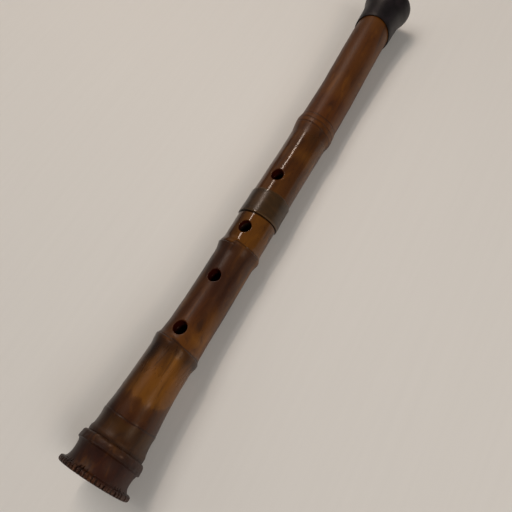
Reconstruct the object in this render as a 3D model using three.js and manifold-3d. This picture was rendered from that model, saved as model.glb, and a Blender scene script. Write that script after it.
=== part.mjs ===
// A shakuhachi in two bamboo sections with a push-together joint and a push-on mouth cap.
// Millimetres, +Z up. The flute lies on its root rim and on its upper node, finger holes up, and +X
// runs from the root end to the mouth end. A station is a length from the middle of the root end's face.
import * as THREE from "three";
import { mergeVertices } from "three/addons/utils/BufferGeometryUtils.js";
import Module from "manifold-3d";

const wasm = await Module();
wasm.setup();

// Lengths along the flute
const mouthAt = 545;
const jointAt = 246.7;
const fitGap = 0.3;
const overrun = 4;
const weld = 0.0001;

// How many flat sides stand for a round one
const tubeSides = 36;
const boreSides = 24;
const holeSides = 20;
const sealCorners = 6;
const roundSteps = 2;
const coveSteps = 3;

// The natural curve of the cane: heights of its centre line over the joint's straight line, and the
// stations where it bends from one height to the next. It dips to the node that the flute lies on
const rootRise = 8.4;
const heelRise = 6.3;
const mouthRise = 4.4;
const heelFrom = 36;
const heelTo = 66;
const jointBendTo = 168;
const dipBendFrom = 277;
const dipFrom = 345;
const dipTo = 390;
const mouthBendTo = 500;
const rootLean = 0.08;
const slopeReach = 1;

// The cane's outside: a tube that widens to the root, given as shares of length and of tube radius
const tubeRadius = 18.5;
const lowerTaperShares = [
  [0.138, 1.27], [0.162, 1.235], [0.203, 1.219], [0.243, 1.168], [0.292, 1.135], [0.353, 1.1],
  [0.418, 1.095], [0.482, 1.062], [0.535, 1.033], [0.649, 1.02], [0.774, 1.01], [1, 1.003],
];
const upperTaperShares = [
  [0, 1], [0.18, 0.999], [0.296, 0.997], [0.33, 1.003], [0.434, 1.022], [0.514, 1.012], [0.598, 0.997],
  [0.69, 0.996], [0.77, 0.995], [0.85, 0.995], [1, 0.995],
];

// Nodes of the cane: a swelling that rises and falls, with a sharp lip, on a slanted ring. The place is
// a share of the section's length, and the other sizes are shares of the tube's radius
const nodeLipReach = 1.3;
const lowerNodeShares = [
  { at: 0.1925, height: 0.0108, lip: 0.0135, rise: 0.27, fall: 0.27, slant: 0.043 },
  { at: 0.455, height: 0.0595, lip: 0.03, rise: 0.52, fall: 0.3, slant: 0.16 },
  { at: 0.8618, height: 0.073, lip: 0.0243, rise: 0.46, fall: 0.38, slant: 0.03 },
];
const upperNodeShares = [
  { at: 0.381, height: 0.07, lip: 0.019, rise: 0.703, fall: 0.757, slant: 0.162 },
];
const nodeStepShares = [-1, -0.45];
const slantReach = 18;

// Root end: the flared rim, the waist behind it and the thick ridge of the last node
const rimRadius = 30.5;
const rimLength = 4.4;
const rimRound = 1.6;
const coveDrop = 0.6;
const waistAt = 11.5;
const waistRadius = 24.8;
const ridgeAt = 19;
const ridgeRadius = 27.6;
const ridgeLength = 8.2;
const ridgeRound = 0.9;
const ridgeFall = 2.6;
const ledgeAt = 31.4;
const ledgeRadius = 24.4;

// Root stubs round the rim: each flat is split, every second point is drawn in to part two stubs, and
// the flats that the rim lies on, where the radius points down by more than the rest share, stay whole
const stubSplit = 3;
const stubGap = 1.3;
const stubRestShare = 0.95;

// Bore: the paste lining narrows it from the mouth to the waist and it opens again to the root
const mouthBoreRadius = 10;
const jointBoreRadius = 8.9;
const narrowBoreRadius = 8.2;
const rootBoreRadius = 9.8;
const narrowBoreAt = 130;
const rootFlareLength = 6;
const rootFlareRadius = 10.6;
const lowerCaneBore = 11.5;
const upperCaneBore = 11.8;
const boreStretch = 38;

// Finger holes on top and the thumb hole underneath, each at a share of its section's length
const firstHoleShare = 0.508;
const secondHoleShare = 0.7264;
const thirdHoleShare = 0.9372;
const fourthHoleShare = 0.147;
const thumbHoleShare = 0.2625;
const firstHoleRadius = 5.8;
const fingerHoleRadius = 5.5;
const thumbHoleRadius = 5.3;
const holeRound = 0.9;

// Joint: a tenon glued into the lower section, pushed into a sleeve in the upper one
const tenonRadius = 13.2;
const tenonGlueLength = 28;
const socketDepth = 29;
const sleeveWall = 1.5;
const tenonLead = 0.8;
const sealSection = 0.95;
const sealProud = 0.15;
const sealShares = [0.25, 0.6];

// Band that binds the socket's end
const bandLength = 26.2;
const bandInnerRadius = 18.3;
const bandLipRadius = 19.7;
const bandRadius = 19.35;
const bandTurnAt = 13;
const bandLip = 0.6;

// Blowing edge: the slanted cut at the front of the mouth end and the wedge let into it
const bevelLength = 12.5;
const bladeThickness = 0.5;
const inlayLength = 10.5;
const inlayEdgeWidth = 14;
const inlayBackWidth = 9;

// Mouth cap
const capRimAt = 499.4;
const capRimSlant = 5.6;
const capRimRadius = 19.65;
const capWall = 2.3;
const capEndWall = 2.7;
const capFlareRadius = 25;
const capFlareAt = 541.6;
const capGripLength = 24;
const capEndRound = 3.2;
const capEdge = 0.5;
const capSideShares = [
  [0, 0], [0.1, 0.09], [0.35, 0.14], [0.5, 0.19], [0.63, 0.27], [0.76, 0.48], [0.88, 0.79], [1, 1],
];

// The height that follows from lying on the rim's lowest flats, and the two ends of the whole
const flatShare = Math.cos(Math.PI / tubeSides);
const restHeight = rimRadius * flatShare - rootRise;
const capEndAt = mouthAt + fitGap + capEndWall;
const rootToeAt = -rootLean * (rimRadius - rimRound) * flatShare;

// Places along the joint that follow from its sizes
const pocketAt = jointAt - tenonGlueLength;
const socketEndAt = jointAt + socketDepth;
const upperAt = jointAt + fitGap / 2;
const lowerEndAt = jointAt - fitGap / 2;
const sleeveInnerRadius = tenonRadius + fitGap;
const sleeveRadius = sleeveInnerRadius + sleeveWall;
const socketRadius = sleeveRadius + fitGap;
const bandEndAt = jointAt + bandLength;
const sealPlaces = sealShares.map((share) => jointAt + socketDepth * share);

// Holes and nodes of each section, from their shares
const upperLength = mouthAt - jointAt;
const lowerHoles = [
  { at: jointAt * firstHoleShare, radius: firstHoleRadius },
  { at: jointAt * secondHoleShare, radius: fingerHoleRadius },
  { at: jointAt * thirdHoleShare, radius: fingerHoleRadius },
];
const upperHoles = [{ at: jointAt + upperLength * fourthHoleShare, radius: fingerHoleRadius }];
const thumbHole = { at: jointAt + upperLength * thumbHoleShare, radius: thumbHoleRadius };
const lowerNodes = lowerNodeShares.map((shares) => nodeFrom(shares, 0, jointAt));
const upperNodes = upperNodeShares.map((shares) => nodeFrom(shares, jointAt, upperLength));

const finishes = {
  cane: new THREE.MeshStandardMaterial({ color: 0x7a4a22, roughness: 0.25, metalness: 0 }),
  lining: new THREE.MeshStandardMaterial({ color: 0x3a1210, roughness: 0.2, metalness: 0 }),
  tenon: new THREE.MeshStandardMaterial({ color: 0x241610, roughness: 0.35, metalness: 0 }),
  sleeve: new THREE.MeshStandardMaterial({ color: 0x1c1512, roughness: 0.4, metalness: 0 }),
  seal: new THREE.MeshStandardMaterial({ color: 0x161616, roughness: 0.8, metalness: 0 }),
  band: new THREE.MeshStandardMaterial({ color: 0x55381f, roughness: 0.3, metalness: 0 }),
  inlay: new THREE.MeshStandardMaterial({ color: 0x1d1a18, roughness: 0.25, metalness: 0 }),
  cap: new THREE.MeshStandardMaterial({ color: 0x1b1a1c, roughness: 0.35, metalness: 0 }),
};

// The value at a station of a table of [station, value], in straight steps.
function along(table, station) {
  const next = table.findIndex((row) => row[0] >= station);
  if (next < 0) return table.at(-1)[1];
  if (next === 0) return table[0][1];
  const [fromAt, from] = table[next - 1];
  const [toAt, to] = table[next];
  return from + ((to - from) * (station - fromAt)) / (toAt - fromAt);
}

// A node's real sizes from its shares, on a section that starts at a station.
function nodeFrom({ at, ...sizes }, start, length) {
  const scaled = Object.entries(sizes).map(([name, share]) => [name, tubeRadius * share]);
  return { at: start + length * at, ...Object.fromEntries(scaled) };
}

// From one value to another with a level start and end.
function ease(from, to, share) {
  const held = Math.min(Math.max(share, 0), 1);
  return from + ((to - from) * (1 - Math.cos(Math.PI * held))) / 2;
}

// Height of the cane's centre line at a station. It is level over the rim, the joint, the upper node
// that the flute lies on, and the stretch in the cap.
function centreRise(station) {
  if (station < heelTo) return ease(rootRise, heelRise, (station - rimLength) / (heelFrom - rimLength));
  if (station < jointAt) return ease(heelRise, 0, (station - heelTo) / (jointBendTo - heelTo));
  if (station < dipTo) return ease(0, dipRise, (station - dipBendFrom) / (dipFrom - dipBendFrom));
  return ease(dipRise, mouthRise, (station - dipTo) / (mouthBendTo - dipTo));
}

// How far a ring leans toward the mouth with its height: it stands square to the centre line, and
// near the root end it leans further, as the face and the ridge do.
function leanAt(station) {
  const fall = (centreRise(station - slopeReach) - centreRise(station + slopeReach)) / (slopeReach * 2);
  return fall + ease(rootLean, 0, station / heelTo);
}

// A quarter of an ellipse between two [station, radius] points. An upright one leaves the first
// point square to the tube and comes to the second along it, and any other the other way round.
function quarter(from, to, upright, steps = roundSteps) {
  const points = [];
  for (let step = 1; step <= steps; step += 1) {
    const angle = ((Math.PI / 2) * step) / steps;
    const early = 1 - Math.cos(angle);
    const late = Math.sin(angle);
    const [stationShare, radiusShare] = upright ? [early, late] : [late, early];
    points.push([from[0] + (to[0] - from[0]) * stationShare, from[1] + (to[1] - from[1]) * radiusShare]);
  }
  return points;
}

// What a node adds to the tube's radius at a station.
function nodeHeight(node, station) {
  const away = station - node.at;
  const swell = ease(node.height, 0, Math.abs(away) / (away < 0 ? node.rise : node.fall));
  const lip = Math.max(0, 1 - Math.abs(away) / nodeLipReach) * node.lip;
  return swell + lip;
}

// The stations where a node's outline needs a ring.
function nodeStations(node) {
  return [
    ...nodeStepShares.map((share) => node.at + node.rise * share),
    node.at - nodeLipReach,
    node.at,
    node.at + nodeLipReach,
    ...nodeStepShares.map((share) => node.at - node.fall * share).reverse(),
  ];
}

// How far a ring leans at a station, because the nearest node stands slanted on the cane.
function slantAt(nodes, station) {
  const slants = nodes.map((node) => ease(node.slant, 0, Math.abs(station - node.at) / slantReach));
  return slants.reduce((sum, slant) => sum + slant, 0);
}

// Outline of a stretch of cane: the taper's and the nodes' stations with the radius at each.
function caneOutline(taper, nodes) {
  const isClear = (at) => nodes.every((node) => at < node.at - node.rise || at > node.at + node.fall);
  const clear = taper.map((row) => row[0]).filter(isClear);
  const stations = [...clear, ...nodes.flatMap(nodeStations)].sort((a, b) => a - b);
  const added = (at) => nodes.reduce((sum, node) => sum + nodeHeight(node, at), 0);
  return stations.map((at) => [at, along(taper, at) + added(at)]);
}

// One ring of points round the centre line, with a flat side down.
function ring(station, radius, sides, slant = 0) {
  const points = [];
  for (let side = 0; side < sides; side += 1) {
    const angle = ((side + 0.5) * 2 * Math.PI) / sides;
    const across = radius * Math.sin(angle);
    const up = -radius * Math.cos(angle);
    const place = station + slant * Math.sin(angle) + leanAt(station) * up;
    points.push(new THREE.Vector3(place, across, centreRise(station) + up));
  }
  return points;
}

// One ring of the root's rim, parted into stubs.
function stubRing(station, radius) {
  const centre = new THREE.Vector3(station, 0, centreRise(station));
  const corners = ring(station, radius, tubeSides);
  return corners.flatMap((corner, side) => {
    const next = corners[(side + 1) % tubeSides];
    return Array.from({ length: stubSplit }, (_, part) => {
      const point = corner.clone().lerp(next, part / stubSplit);
      const isRest = centre.z - point.z > radius * stubRestShare;
      const isStub = (side * stubSplit + part) % 2 === 0;
      return isRest || isStub ? point : point.lerp(centre, stubGap / radius);
    });
  });
}

// Faces between two neighbouring rings, of which one may have a whole number of times the other's points.
function facesBetween(near, far) {
  const steps = Math.max(near.count, far.count);
  const index = ({ first, count }, step) => first + (Math.round((step * count) / steps) % count);
  const faces = [];
  for (let step = 0; step < steps; step += 1) {
    const [nearHere, nearNext] = [index(near, step), index(near, step + 1)];
    const [farHere, farNext] = [index(far, step), index(far, step + 1)];
    if (nearHere !== nearNext) faces.push(nearHere, nearNext, farHere);
    if (farHere !== farNext) faces.push(nearNext, farNext, farHere);
  }
  return faces;
}

// Skin over rings of points. A through one runs from the last ring back to the first, as on a tube
// with a bore, and any other is closed by flat ends.
function skin(rings, through) {
  let placed = 0;
  const rows = rings.map((points) => {
    const row = { first: placed, count: points.length };
    placed += points.length;
    return row;
  });
  const faces = rows.slice(1).flatMap((row, index) => facesBetween(rows[index], row));
  const last = rows.at(-1);
  if (through) {
    faces.push(...facesBetween(last, rows[0]));
  } else {
    for (let side = 1; side < last.count - 1; side += 1) {
      faces.push(0, side + 1, side, last.first, last.first + side, last.first + side + 1);
    }
  }
  const geometry = new THREE.BufferGeometry().setFromPoints(rings.flat());
  geometry.setIndex(faces);
  return geometry;
}

// A geometry as a solid that can be cut.
function toSolid(geometry) {
  const bare = new THREE.BufferGeometry();
  bare.setAttribute("position", geometry.getAttribute("position"));
  bare.setIndex(geometry.index);
  const merged = mergeVertices(bare, weld);
  const vertProperties = merged.getAttribute("position").array;
  const triVerts = new Uint32Array(merged.index.array);
  return new wasm.Manifold(new wasm.Mesh({ numProp: 3, vertProperties, triVerts }));
}

// A cut solid as a geometry again.
function toGeometry(solid) {
  const { vertProperties, triVerts } = solid.getMesh();
  const geometry = new THREE.BufferGeometry();
  geometry.setAttribute("position", new THREE.BufferAttribute(vertProperties, 3));
  geometry.setIndex(new THREE.BufferAttribute(triVerts, 1));
  return geometry;
}

// A tube turned from a closed outline of [station, radius] points round the joint's straight line.
function turned(outline, sides = tubeSides) {
  const points = [...outline, outline[0]].map(([station, radius]) => new THREE.Vector2(radius, station));
  return new THREE.LatheGeometry(points, sides, Math.PI / sides).rotateZ(-Math.PI / 2);
}

function named(name, geometry, finish) {
  geometry.computeVertexNormals();
  const mesh = new THREE.Mesh(geometry, finish);
  mesh.name = name;
  return mesh;
}

const lowerTaper = lowerTaperShares.map(([length, size]) => [jointAt * length, tubeRadius * size]);
const upperTaper = upperTaperShares.map(([length, size]) => [
  jointAt + upperLength * length,
  tubeRadius * size,
]);

// Radius of the cane's outside at a station, for the holes that are cut through it.
function caneRadius(station) {
  return along(station < jointAt ? lowerTaper : upperTaper, station);
}

// The height that brings the upper node's lowest flat down to the rim's
const [upperNode] = upperNodes;
const dipRise = (caneRadius(upperNode.at) + nodeHeight(upperNode, upperNode.at)) * flatShare - restHeight;

// Radius of the bore at a station.
function boreRadius(station) {
  if (station < rootFlareLength) return ease(rootFlareRadius, rootBoreRadius, station / rootFlareLength);
  if (station < narrowBoreAt) {
    const share = (station - rootFlareLength) / (narrowBoreAt - rootFlareLength);
    return ease(rootBoreRadius, narrowBoreRadius, share);
  }
  if (station < pocketAt) {
    return ease(narrowBoreRadius, jointBoreRadius, (station - narrowBoreAt) / (pocketAt - narrowBoreAt));
  }
  return ease(jointBoreRadius, mouthBoreRadius, (station - socketEndAt) / (mouthAt - socketEndAt));
}

// Stations that follow a bent bore closely from one place to another.
function boreStations(from, to) {
  const steps = Math.ceil((to - from) / boreStretch);
  return Array.from({ length: steps + 1 }, (_, step) => from + ((to - from) * step) / steps);
}

// Cutter for a round hole from the bore out through one wall. Its edge is rounded over at one depth
// all the way round, so it follows the saddle where a round hole meets a round tube.
function holeCutter({ at, radius }, underneath) {
  const wallRadius = caneRadius(at);
  const steps = [[radius, holeRound], ...quarter([radius, holeRound], [radius + holeRound, 0], false)];
  const atAngle = (side, reach, height) => {
    const angle = (side * 2 * Math.PI) / holeSides;
    const across = reach * Math.sin(angle);
    return new THREE.Vector3(reach * Math.cos(angle), across, height(across));
  };
  const ringAt = (reach, height) =>
    Array.from({ length: holeSides }, (_, side) => atAngle(side, reach, height));
  const surface = (across) => Math.sqrt(wallRadius ** 2 - across ** 2);
  const rings = [
    ringAt(radius, () => 0),
    ...steps.map(([reach, depth]) => ringAt(reach, (across) => surface(across) - depth)),
    ringAt(radius + holeRound, () => wallRadius + overrun),
  ];
  const cutter = skin(rings, false);
  if (underneath) cutter.rotateX(Math.PI);
  return toSolid(cutter.rotateY(Math.atan(leanAt(at))).translate(at, 0, centreRise(at)));
}

// A solid with its finger holes cut through it.
function withHoles(solid, holes) {
  return holes.reduce((left, hole) => left.subtract(holeCutter(hole, false)), solid);
}

// Block above the slanted cut of the blowing edge, across the whole mouth end.
function bevelBlock() {
  const bladeRadius = mouthBoreRadius + bladeThickness;
  const slope = (caneRadius(mouthAt) - bladeRadius) / bevelLength;
  const top = caneRadius(mouthAt) + overrun * 2;
  const shape = new THREE.Shape([
    new THREE.Vector2(mouthAt + overrun, bladeRadius - overrun * slope),
    new THREE.Vector2(mouthAt + overrun, top),
    new THREE.Vector2(mouthAt - bevelLength - overrun, top),
    new THREE.Vector2(mouthAt - bevelLength - overrun, caneRadius(mouthAt) + overrun * slope),
  ]);
  const width = caneRadius(mouthAt) * 2 + overrun;
  const block = new THREE.ExtrudeGeometry(shape, { depth: width, bevelEnabled: false });
  return toSolid(block.rotateX(Math.PI / 2).translate(0, width / 2, centreRise(mouthAt)));
}

// Wedge prism of the inlay seen from above, grown by a clearance for the pocket that it sits in.
function inlayPrism(clearance) {
  const back = mouthAt - inlayLength - clearance;
  const edge = clearance > 0 ? mouthAt + overrun : mouthAt;
  const spread = (inlayEdgeWidth - inlayBackWidth) / 2 / inlayLength;
  const grown = inlayEdgeWidth / 2 + clearance * Math.hypot(1, spread);
  const halfWidth = (at) => grown + spread * (at - mouthAt);
  const shape = new THREE.Shape([
    new THREE.Vector2(back, -halfWidth(back)),
    new THREE.Vector2(edge, -halfWidth(edge)),
    new THREE.Vector2(edge, halfWidth(edge)),
    new THREE.Vector2(back, halfWidth(back)),
  ]);
  const depth = caneRadius(mouthAt) + overrun;
  const prism = new THREE.ExtrudeGeometry(shape, { depth, bevelEnabled: false });
  return toSolid(prism.translate(0, 0, centreRise(mouthAt)));
}

// The bore as a plug, to cut the inlay flush with it.
function borePlug(from, to) {
  return toSolid(skin([from, to].map((at) => ring(at, boreRadius(at), boreSides)), false));
}

// The outline of the root's rim, from its face to its back edge.
function rimOutline() {
  return [
    [0, rimRadius - rimRound],
    ...quarter([0, rimRadius - rimRound], [rimRound, rimRadius], true),
    [rimLength - rimRound, rimRadius],
    ...quarter([rimLength - rimRound, rimRadius], [rimLength, rimRadius - rimRound], false),
  ];
}

// The outline behind the rim: the cove, the waist, the ridge and the ledge.
function ridgeOutline() {
  const ridgeEndAt = ridgeAt + ridgeLength;
  return [
    [rimLength, rimRadius - rimRound - coveDrop],
    ...quarter([rimLength, rimRadius - rimRound - coveDrop], [waistAt, waistRadius], true, coveSteps),
    ...quarter([waistAt, waistRadius], [ridgeAt, ridgeRadius - ridgeRound], false, coveSteps),
    ...quarter([ridgeAt, ridgeRadius - ridgeRound], [ridgeAt + ridgeRound, ridgeRadius], true),
    ...quarter([ridgeEndAt - ridgeFall, ridgeRadius - ridgeRound], [ridgeEndAt, ledgeRadius], false),
    [ledgeAt, ledgeRadius],
  ];
}

function lowerSection() {
  const outside = [...ridgeOutline(), ...caneOutline(lowerTaper, lowerNodes)];
  outside.at(-1)[0] = lowerEndAt;
  const inside = boreStations(0, pocketAt).map((at) => [at, lowerCaneBore]);
  const pocket = [[pocketAt, tenonRadius + fitGap], [lowerEndAt, tenonRadius + fitGap]];
  const rimRings = rimOutline().map(([at, radius]) => stubRing(at, radius));
  const slantedRings = outside.map(([at, radius]) => ring(at, radius, tubeSides, slantAt(lowerNodes, at)));
  const boreRings = [...inside, ...pocket].reverse().map(([at, radius]) => ring(at, radius, tubeSides));
  const solid = toSolid(skin([...rimRings, ...slantedRings, ...boreRings], true));
  return named("lower_section", toGeometry(withHoles(solid, lowerHoles)), finishes.cane);
}

function upperSection() {
  const outside = caneOutline(upperTaper, upperNodes);
  const afterBand = outside.filter(([at]) => at > bandEndAt);
  const underBand = bandInnerRadius - fitGap;
  const outline = [
    [upperAt, underBand],
    [bandEndAt + fitGap / 2, underBand],
    [bandEndAt + fitGap / 2, along(upperTaper, bandEndAt)],
    ...afterBand,
  ];
  const socket = [[upperAt, socketRadius], [socketEndAt, socketRadius]];
  const inside = boreStations(socketEndAt, mouthAt).map((at) => [at, upperCaneBore]);
  const slantedRings = outline.map(([at, radius]) => ring(at, radius, tubeSides, slantAt(upperNodes, at)));
  const boreRings = [...socket, ...inside].reverse().map(([at, radius]) => ring(at, radius, tubeSides));
  const solid = toSolid(skin([...slantedRings, ...boreRings], true));
  return named("upper_section", toGeometry(withMouth(withHoles(solid, upperHoles))), finishes.cane);
}

// An upper solid with its thumb hole, its blowing edge and the inlay's pocket cut.
function withMouth(solid) {
  return solid.subtract(holeCutter(thumbHole, true)).subtract(bevelBlock()).subtract(inlayPrism(fitGap));
}

// A bore lining between two stations: round outside for the cane's bore, tapered inside.
function liningSolid(from, to, caneBore) {
  const stations = boreStations(from, to);
  const outside = stations.map((at) => ring(at, caneBore - fitGap, boreSides));
  const inside = stations.map((at) => ring(at, boreRadius(at), boreSides));
  return toSolid(skin([...outside, ...inside.reverse()], true));
}

function lowerLining() {
  const holes = lowerHoles.filter((hole) => hole.at + hole.radius < pocketAt);
  const solid = withHoles(liningSolid(0, pocketAt, lowerCaneBore), holes);
  return named("lower_bore_lining", toGeometry(solid), finishes.lining);
}

function upperLining() {
  const solid = withMouth(withHoles(liningSolid(socketEndAt, mouthAt, upperCaneBore), upperHoles));
  return named("upper_bore_lining", toGeometry(solid), finishes.lining);
}

function jointTenon() {
  const start = pocketAt + fitGap;
  const end = socketEndAt - fitGap;
  const sealRadius = tenonRadius + sealProud - sealSection;
  const grooveRadius = sealRadius - sealSection - fitGap;
  const grooves = sealPlaces.flatMap((place) => {
    const from = place - sealSection - fitGap;
    const to = place + sealSection + fitGap;
    return [[from, tenonRadius], [from, grooveRadius], [to, grooveRadius], [to, tenonRadius]];
  });
  const outline = [
    [start, jointBoreRadius],
    [start, tenonRadius],
    ...grooves,
    [end - tenonLead, tenonRadius],
    [end, tenonRadius - tenonLead],
    [end, jointBoreRadius],
  ];
  const holes = lowerHoles.filter((hole) => hole.at > pocketAt);
  const solid = withHoles(toSolid(turned(outline, boreSides)), holes);
  return named("joint_tenon", toGeometry(solid), finishes.tenon);
}

function sealRing(number, place) {
  const centre = tenonRadius + sealProud - sealSection;
  const outline = Array.from({ length: sealCorners }, (_, corner) => {
    const angle = (corner * 2 * Math.PI) / sealCorners;
    return [sealSection * Math.cos(angle), centre - sealSection * Math.sin(angle)];
  });
  const mesh = named(`tenon_seal_ring_${number}`, turned(outline, boreSides), finishes.seal);
  mesh.position.set(place, 0, 0);
  return mesh;
}

function socketSleeve() {
  const length = socketDepth - fitGap / 2 - fitGap;
  const outline = [
    [0, sleeveRadius],
    [length, sleeveRadius],
    [length, sleeveInnerRadius],
    [tenonLead, sleeveInnerRadius],
    [0, sleeveInnerRadius + tenonLead],
  ];
  const mesh = named("joint_socket_sleeve", turned(outline), finishes.sleeve);
  mesh.position.set(upperAt, 0, 0);
  return mesh;
}

function jointBand() {
  const length = bandLength - fitGap;
  const outline = [
    [0, bandInnerRadius],
    [0, bandLipRadius - bandLip],
    ...quarter([0, bandLipRadius - bandLip], [bandLip, bandLipRadius], true),
    [bandTurnAt, bandRadius],
    [length - bandLip, bandRadius],
    ...quarter([length - bandLip, bandRadius], [length, bandRadius - bandLip], false),
    [length, bandInnerRadius],
  ];
  const mesh = named("joint_band", turned(outline), finishes.band);
  mesh.position.set(upperAt, 0, 0);
  return mesh;
}

function mouthpieceInlay() {
  const bore = borePlug(mouthAt - inlayLength - overrun, mouthAt + overrun);
  const solid = inlayPrism(0).subtract(bore).subtract(bevelBlock());
  return named("mouthpiece_inlay", toGeometry(solid), finishes.inlay);
}

// The cap is turned with a long rim and then cut at a slant, lower at the back than at the front.
function mouthCap() {
  const rimStart = capRimAt - capRimSlant * 2;
  const inner = caneRadius(mouthAt) + fitGap;
  const side = capSideShares.map(([length, size]) => [
    capRimAt + (capFlareAt - capRimAt) * length,
    capRimRadius + (capFlareRadius - capRimRadius) * size,
  ]);
  const gripEndAt = capRimAt + capGripLength;
  const floorAt = mouthAt + fitGap;
  const flared = side.filter(([at]) => at > gripEndAt);
  const hollow = flared.map(([at, radius]) => [at, Math.max(inner, radius - capWall)]);
  const outline = [
    [floorAt, 0],
    [floorAt, hollow.at(-1)[1] - capEdge],
    ...hollow.reverse(),
    [gripEndAt, inner],
    [rimStart, inner],
    [rimStart, capRimRadius],
    ...side,
    [capEndAt - capEndRound, capFlareRadius],
    ...quarter([capEndAt - capEndRound, capFlareRadius], [capEndAt, capFlareRadius - capEndRound], false),
    [capEndAt, 0],
  ];
  const points = outline.map(([station, radius]) => new THREE.Vector2(radius, station));
  const turnedCap = new THREE.LatheGeometry(points, tubeSides, Math.PI / tubeSides).rotateZ(-Math.PI / 2);
  const blockSize = capFlareRadius * 4;
  const block = new THREE.BoxGeometry(blockSize, blockSize, blockSize).translate(-blockSize / 2, 0, 0);
  block.rotateY(Math.atan2(capRimSlant, capRimRadius)).translate(capRimAt, 0, 0);
  const mesh = named("mouth_cap", toGeometry(toSolid(turnedCap).subtract(toSolid(block))), finishes.cap);
  mesh.position.set(0, 0, mouthRise);
  return mesh;
}

const lower = new THREE.Group();
lower.add(lowerSection(), lowerLining(), jointTenon());

const seals = new THREE.Group();
sealPlaces.forEach((place, index) => seals.add(sealRing(index + 1, place)));

const upper = new THREE.Group();
upper.add(upperSection(), upperLining(), socketSleeve(), jointBand(), mouthpieceInlay());

const flute = new THREE.Group();
flute.add(lower, seals, upper, mouthCap());
flute.position.set(-(rootToeAt + capEndAt) / 2, 0, restHeight);

export default flute;
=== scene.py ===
# A shakuhachi lying on a pale table with its finger holes up.
# Sizes of the flute are in millimetres, and whatever Blender gets is in metres. A station is a length from
# the middle of the root end's face. Angles go round the flute: 0 is down, a quarter turn +Y, half a turn up.
import math
import random
from collections import namedtuple

import bpy
from mathutils import Matrix, Vector, noise


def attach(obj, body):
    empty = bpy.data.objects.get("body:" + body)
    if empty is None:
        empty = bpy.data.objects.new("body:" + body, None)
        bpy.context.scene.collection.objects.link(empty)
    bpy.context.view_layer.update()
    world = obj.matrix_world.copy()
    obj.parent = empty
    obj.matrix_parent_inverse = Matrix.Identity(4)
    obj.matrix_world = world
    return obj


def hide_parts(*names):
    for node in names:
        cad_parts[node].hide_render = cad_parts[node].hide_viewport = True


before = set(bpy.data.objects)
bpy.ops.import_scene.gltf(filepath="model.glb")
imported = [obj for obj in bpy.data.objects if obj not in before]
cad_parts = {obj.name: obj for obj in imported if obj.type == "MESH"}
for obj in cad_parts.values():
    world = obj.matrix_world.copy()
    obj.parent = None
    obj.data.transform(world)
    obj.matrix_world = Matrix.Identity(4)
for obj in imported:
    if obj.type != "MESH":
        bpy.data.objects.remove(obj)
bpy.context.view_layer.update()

MM = 0.001

# Lengths along the flute
MOUTH_AT = 545.0
JOINT_AT = 246.7
UPPER_LENGTH = MOUTH_AT - JOINT_AT
FIT_GAP = 0.3
GLUE_GAP = 0.04

# Rings of the fine meshes: how many points are in one, and how far apart they stand
COLUMNS = 144
COLUMN_TURN = 2 * math.pi / COLUMNS
RIM_COLUMNS = COLUMNS * 3
RIM_FACE = 1.5
RIM_FACE_ROWS = (1.0, 0.5, 0.0)
TUBE_STEP = 1.6
LINE_STEP = 0.3
LINE_STEP_REACH = 3.4
FIRST_STEP = 0.6
BORE_STEP = 6.0
CROWN_STEPS = 8
ARC_STEPS = 5

# The natural curve of the cane: heights of its centre line over the joint's straight line
ROOT_RISE = 8.4
HEEL_RISE = 6.3
MOUTH_RISE = 4.4
HEEL = (36.0, 66.0)
JOINT_BEND_TO = 168.0
DIP_BEND_FROM = 277.0
DIP = (345.0, 390.0)
MOUTH_BEND_TO = 500.0
ROOT_LEAN = 0.08

# Outside of the cane
TUBE_RADIUS = 18.5
LOWER_TAPER_SHARES = [
    (0.138, 1.27), (0.162, 1.235), (0.203, 1.219), (0.243, 1.168), (0.292, 1.135), (0.353, 1.1),
    (0.418, 1.095), (0.482, 1.062), (0.535, 1.033), (0.649, 1.02), (0.774, 1.01), (1.0, 1.003),
]
UPPER_TAPER_SHARES = [
    (0.0, 1.0), (0.296, 0.997), (0.33, 1.003), (0.434, 1.022), (0.514, 1.012), (0.598, 0.997), (1.0, 0.995),
]
SLANT_REACH = 18.0
WANDER = 0.13
WANDER_SIZE = 14.0


# A node of the cane: its swelling, and the scar lines that run round it on a slant. Each line is (place past
# the node, step down across it, groove's depth), and a bud is (degrees round, jump of the line behind it)
Node = namedtuple("Node", "at height rise fall slant lines bud", defaults=[None])
LOWER_NODES = [
    Node(47.5, 0.2, 5.0, 5.0, 0.8, [(0.5, 0.22, 0.16)]),
    Node(112.2, 1.3, 9.6, 5.6, 3.0, [(1.3, 0.3, 0.2)], bud=(182.0, -0.8)),
    Node(212.6, 1.4, 8.5, 7.0, 0.6, [(0.6, 0.3, 0.3)], bud=(180.0, -4.0)),
]
UPPER_NODES = [
    Node(360.3, 1.3, 13.0, 14.0, 3.0, [(-3.5, 0.1, 0.24), (8.4, 0.12, 0.24), (2.4, 0.2, 0.36)]),
]
LINE_REACH = 6.0
LINE_WIDTH = 0.4
LINE_WAVE = 0.55
STEP_SOFTNESS_SHARE = 0.6
LIP_HEIGHT_SHARE = 0.3
LIP_PLACE_SHARE = 1.6
LIP_WIDTH_SHARE = 1.3
DARK_PLACE_SHARE = 0.6
DARK_WIDTH_SHARE = 1.9
BEYOND_FIRST_SHARE = 0.7
BEYOND_LEAD = 0.6
BEYOND_STEP = 0.5
BUD_HEIGHT = 0.42
BUD_PLACE = 0.4
BUD_WIDTH = 1.47
BUD_DIP_DEPTH = 0.336
BUD_DIP_PLACE = -2.0
BUD_DIP_WIDTH = 0.84
BUD_FADE = 0.9
BUD_TURN = 0.05

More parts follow.
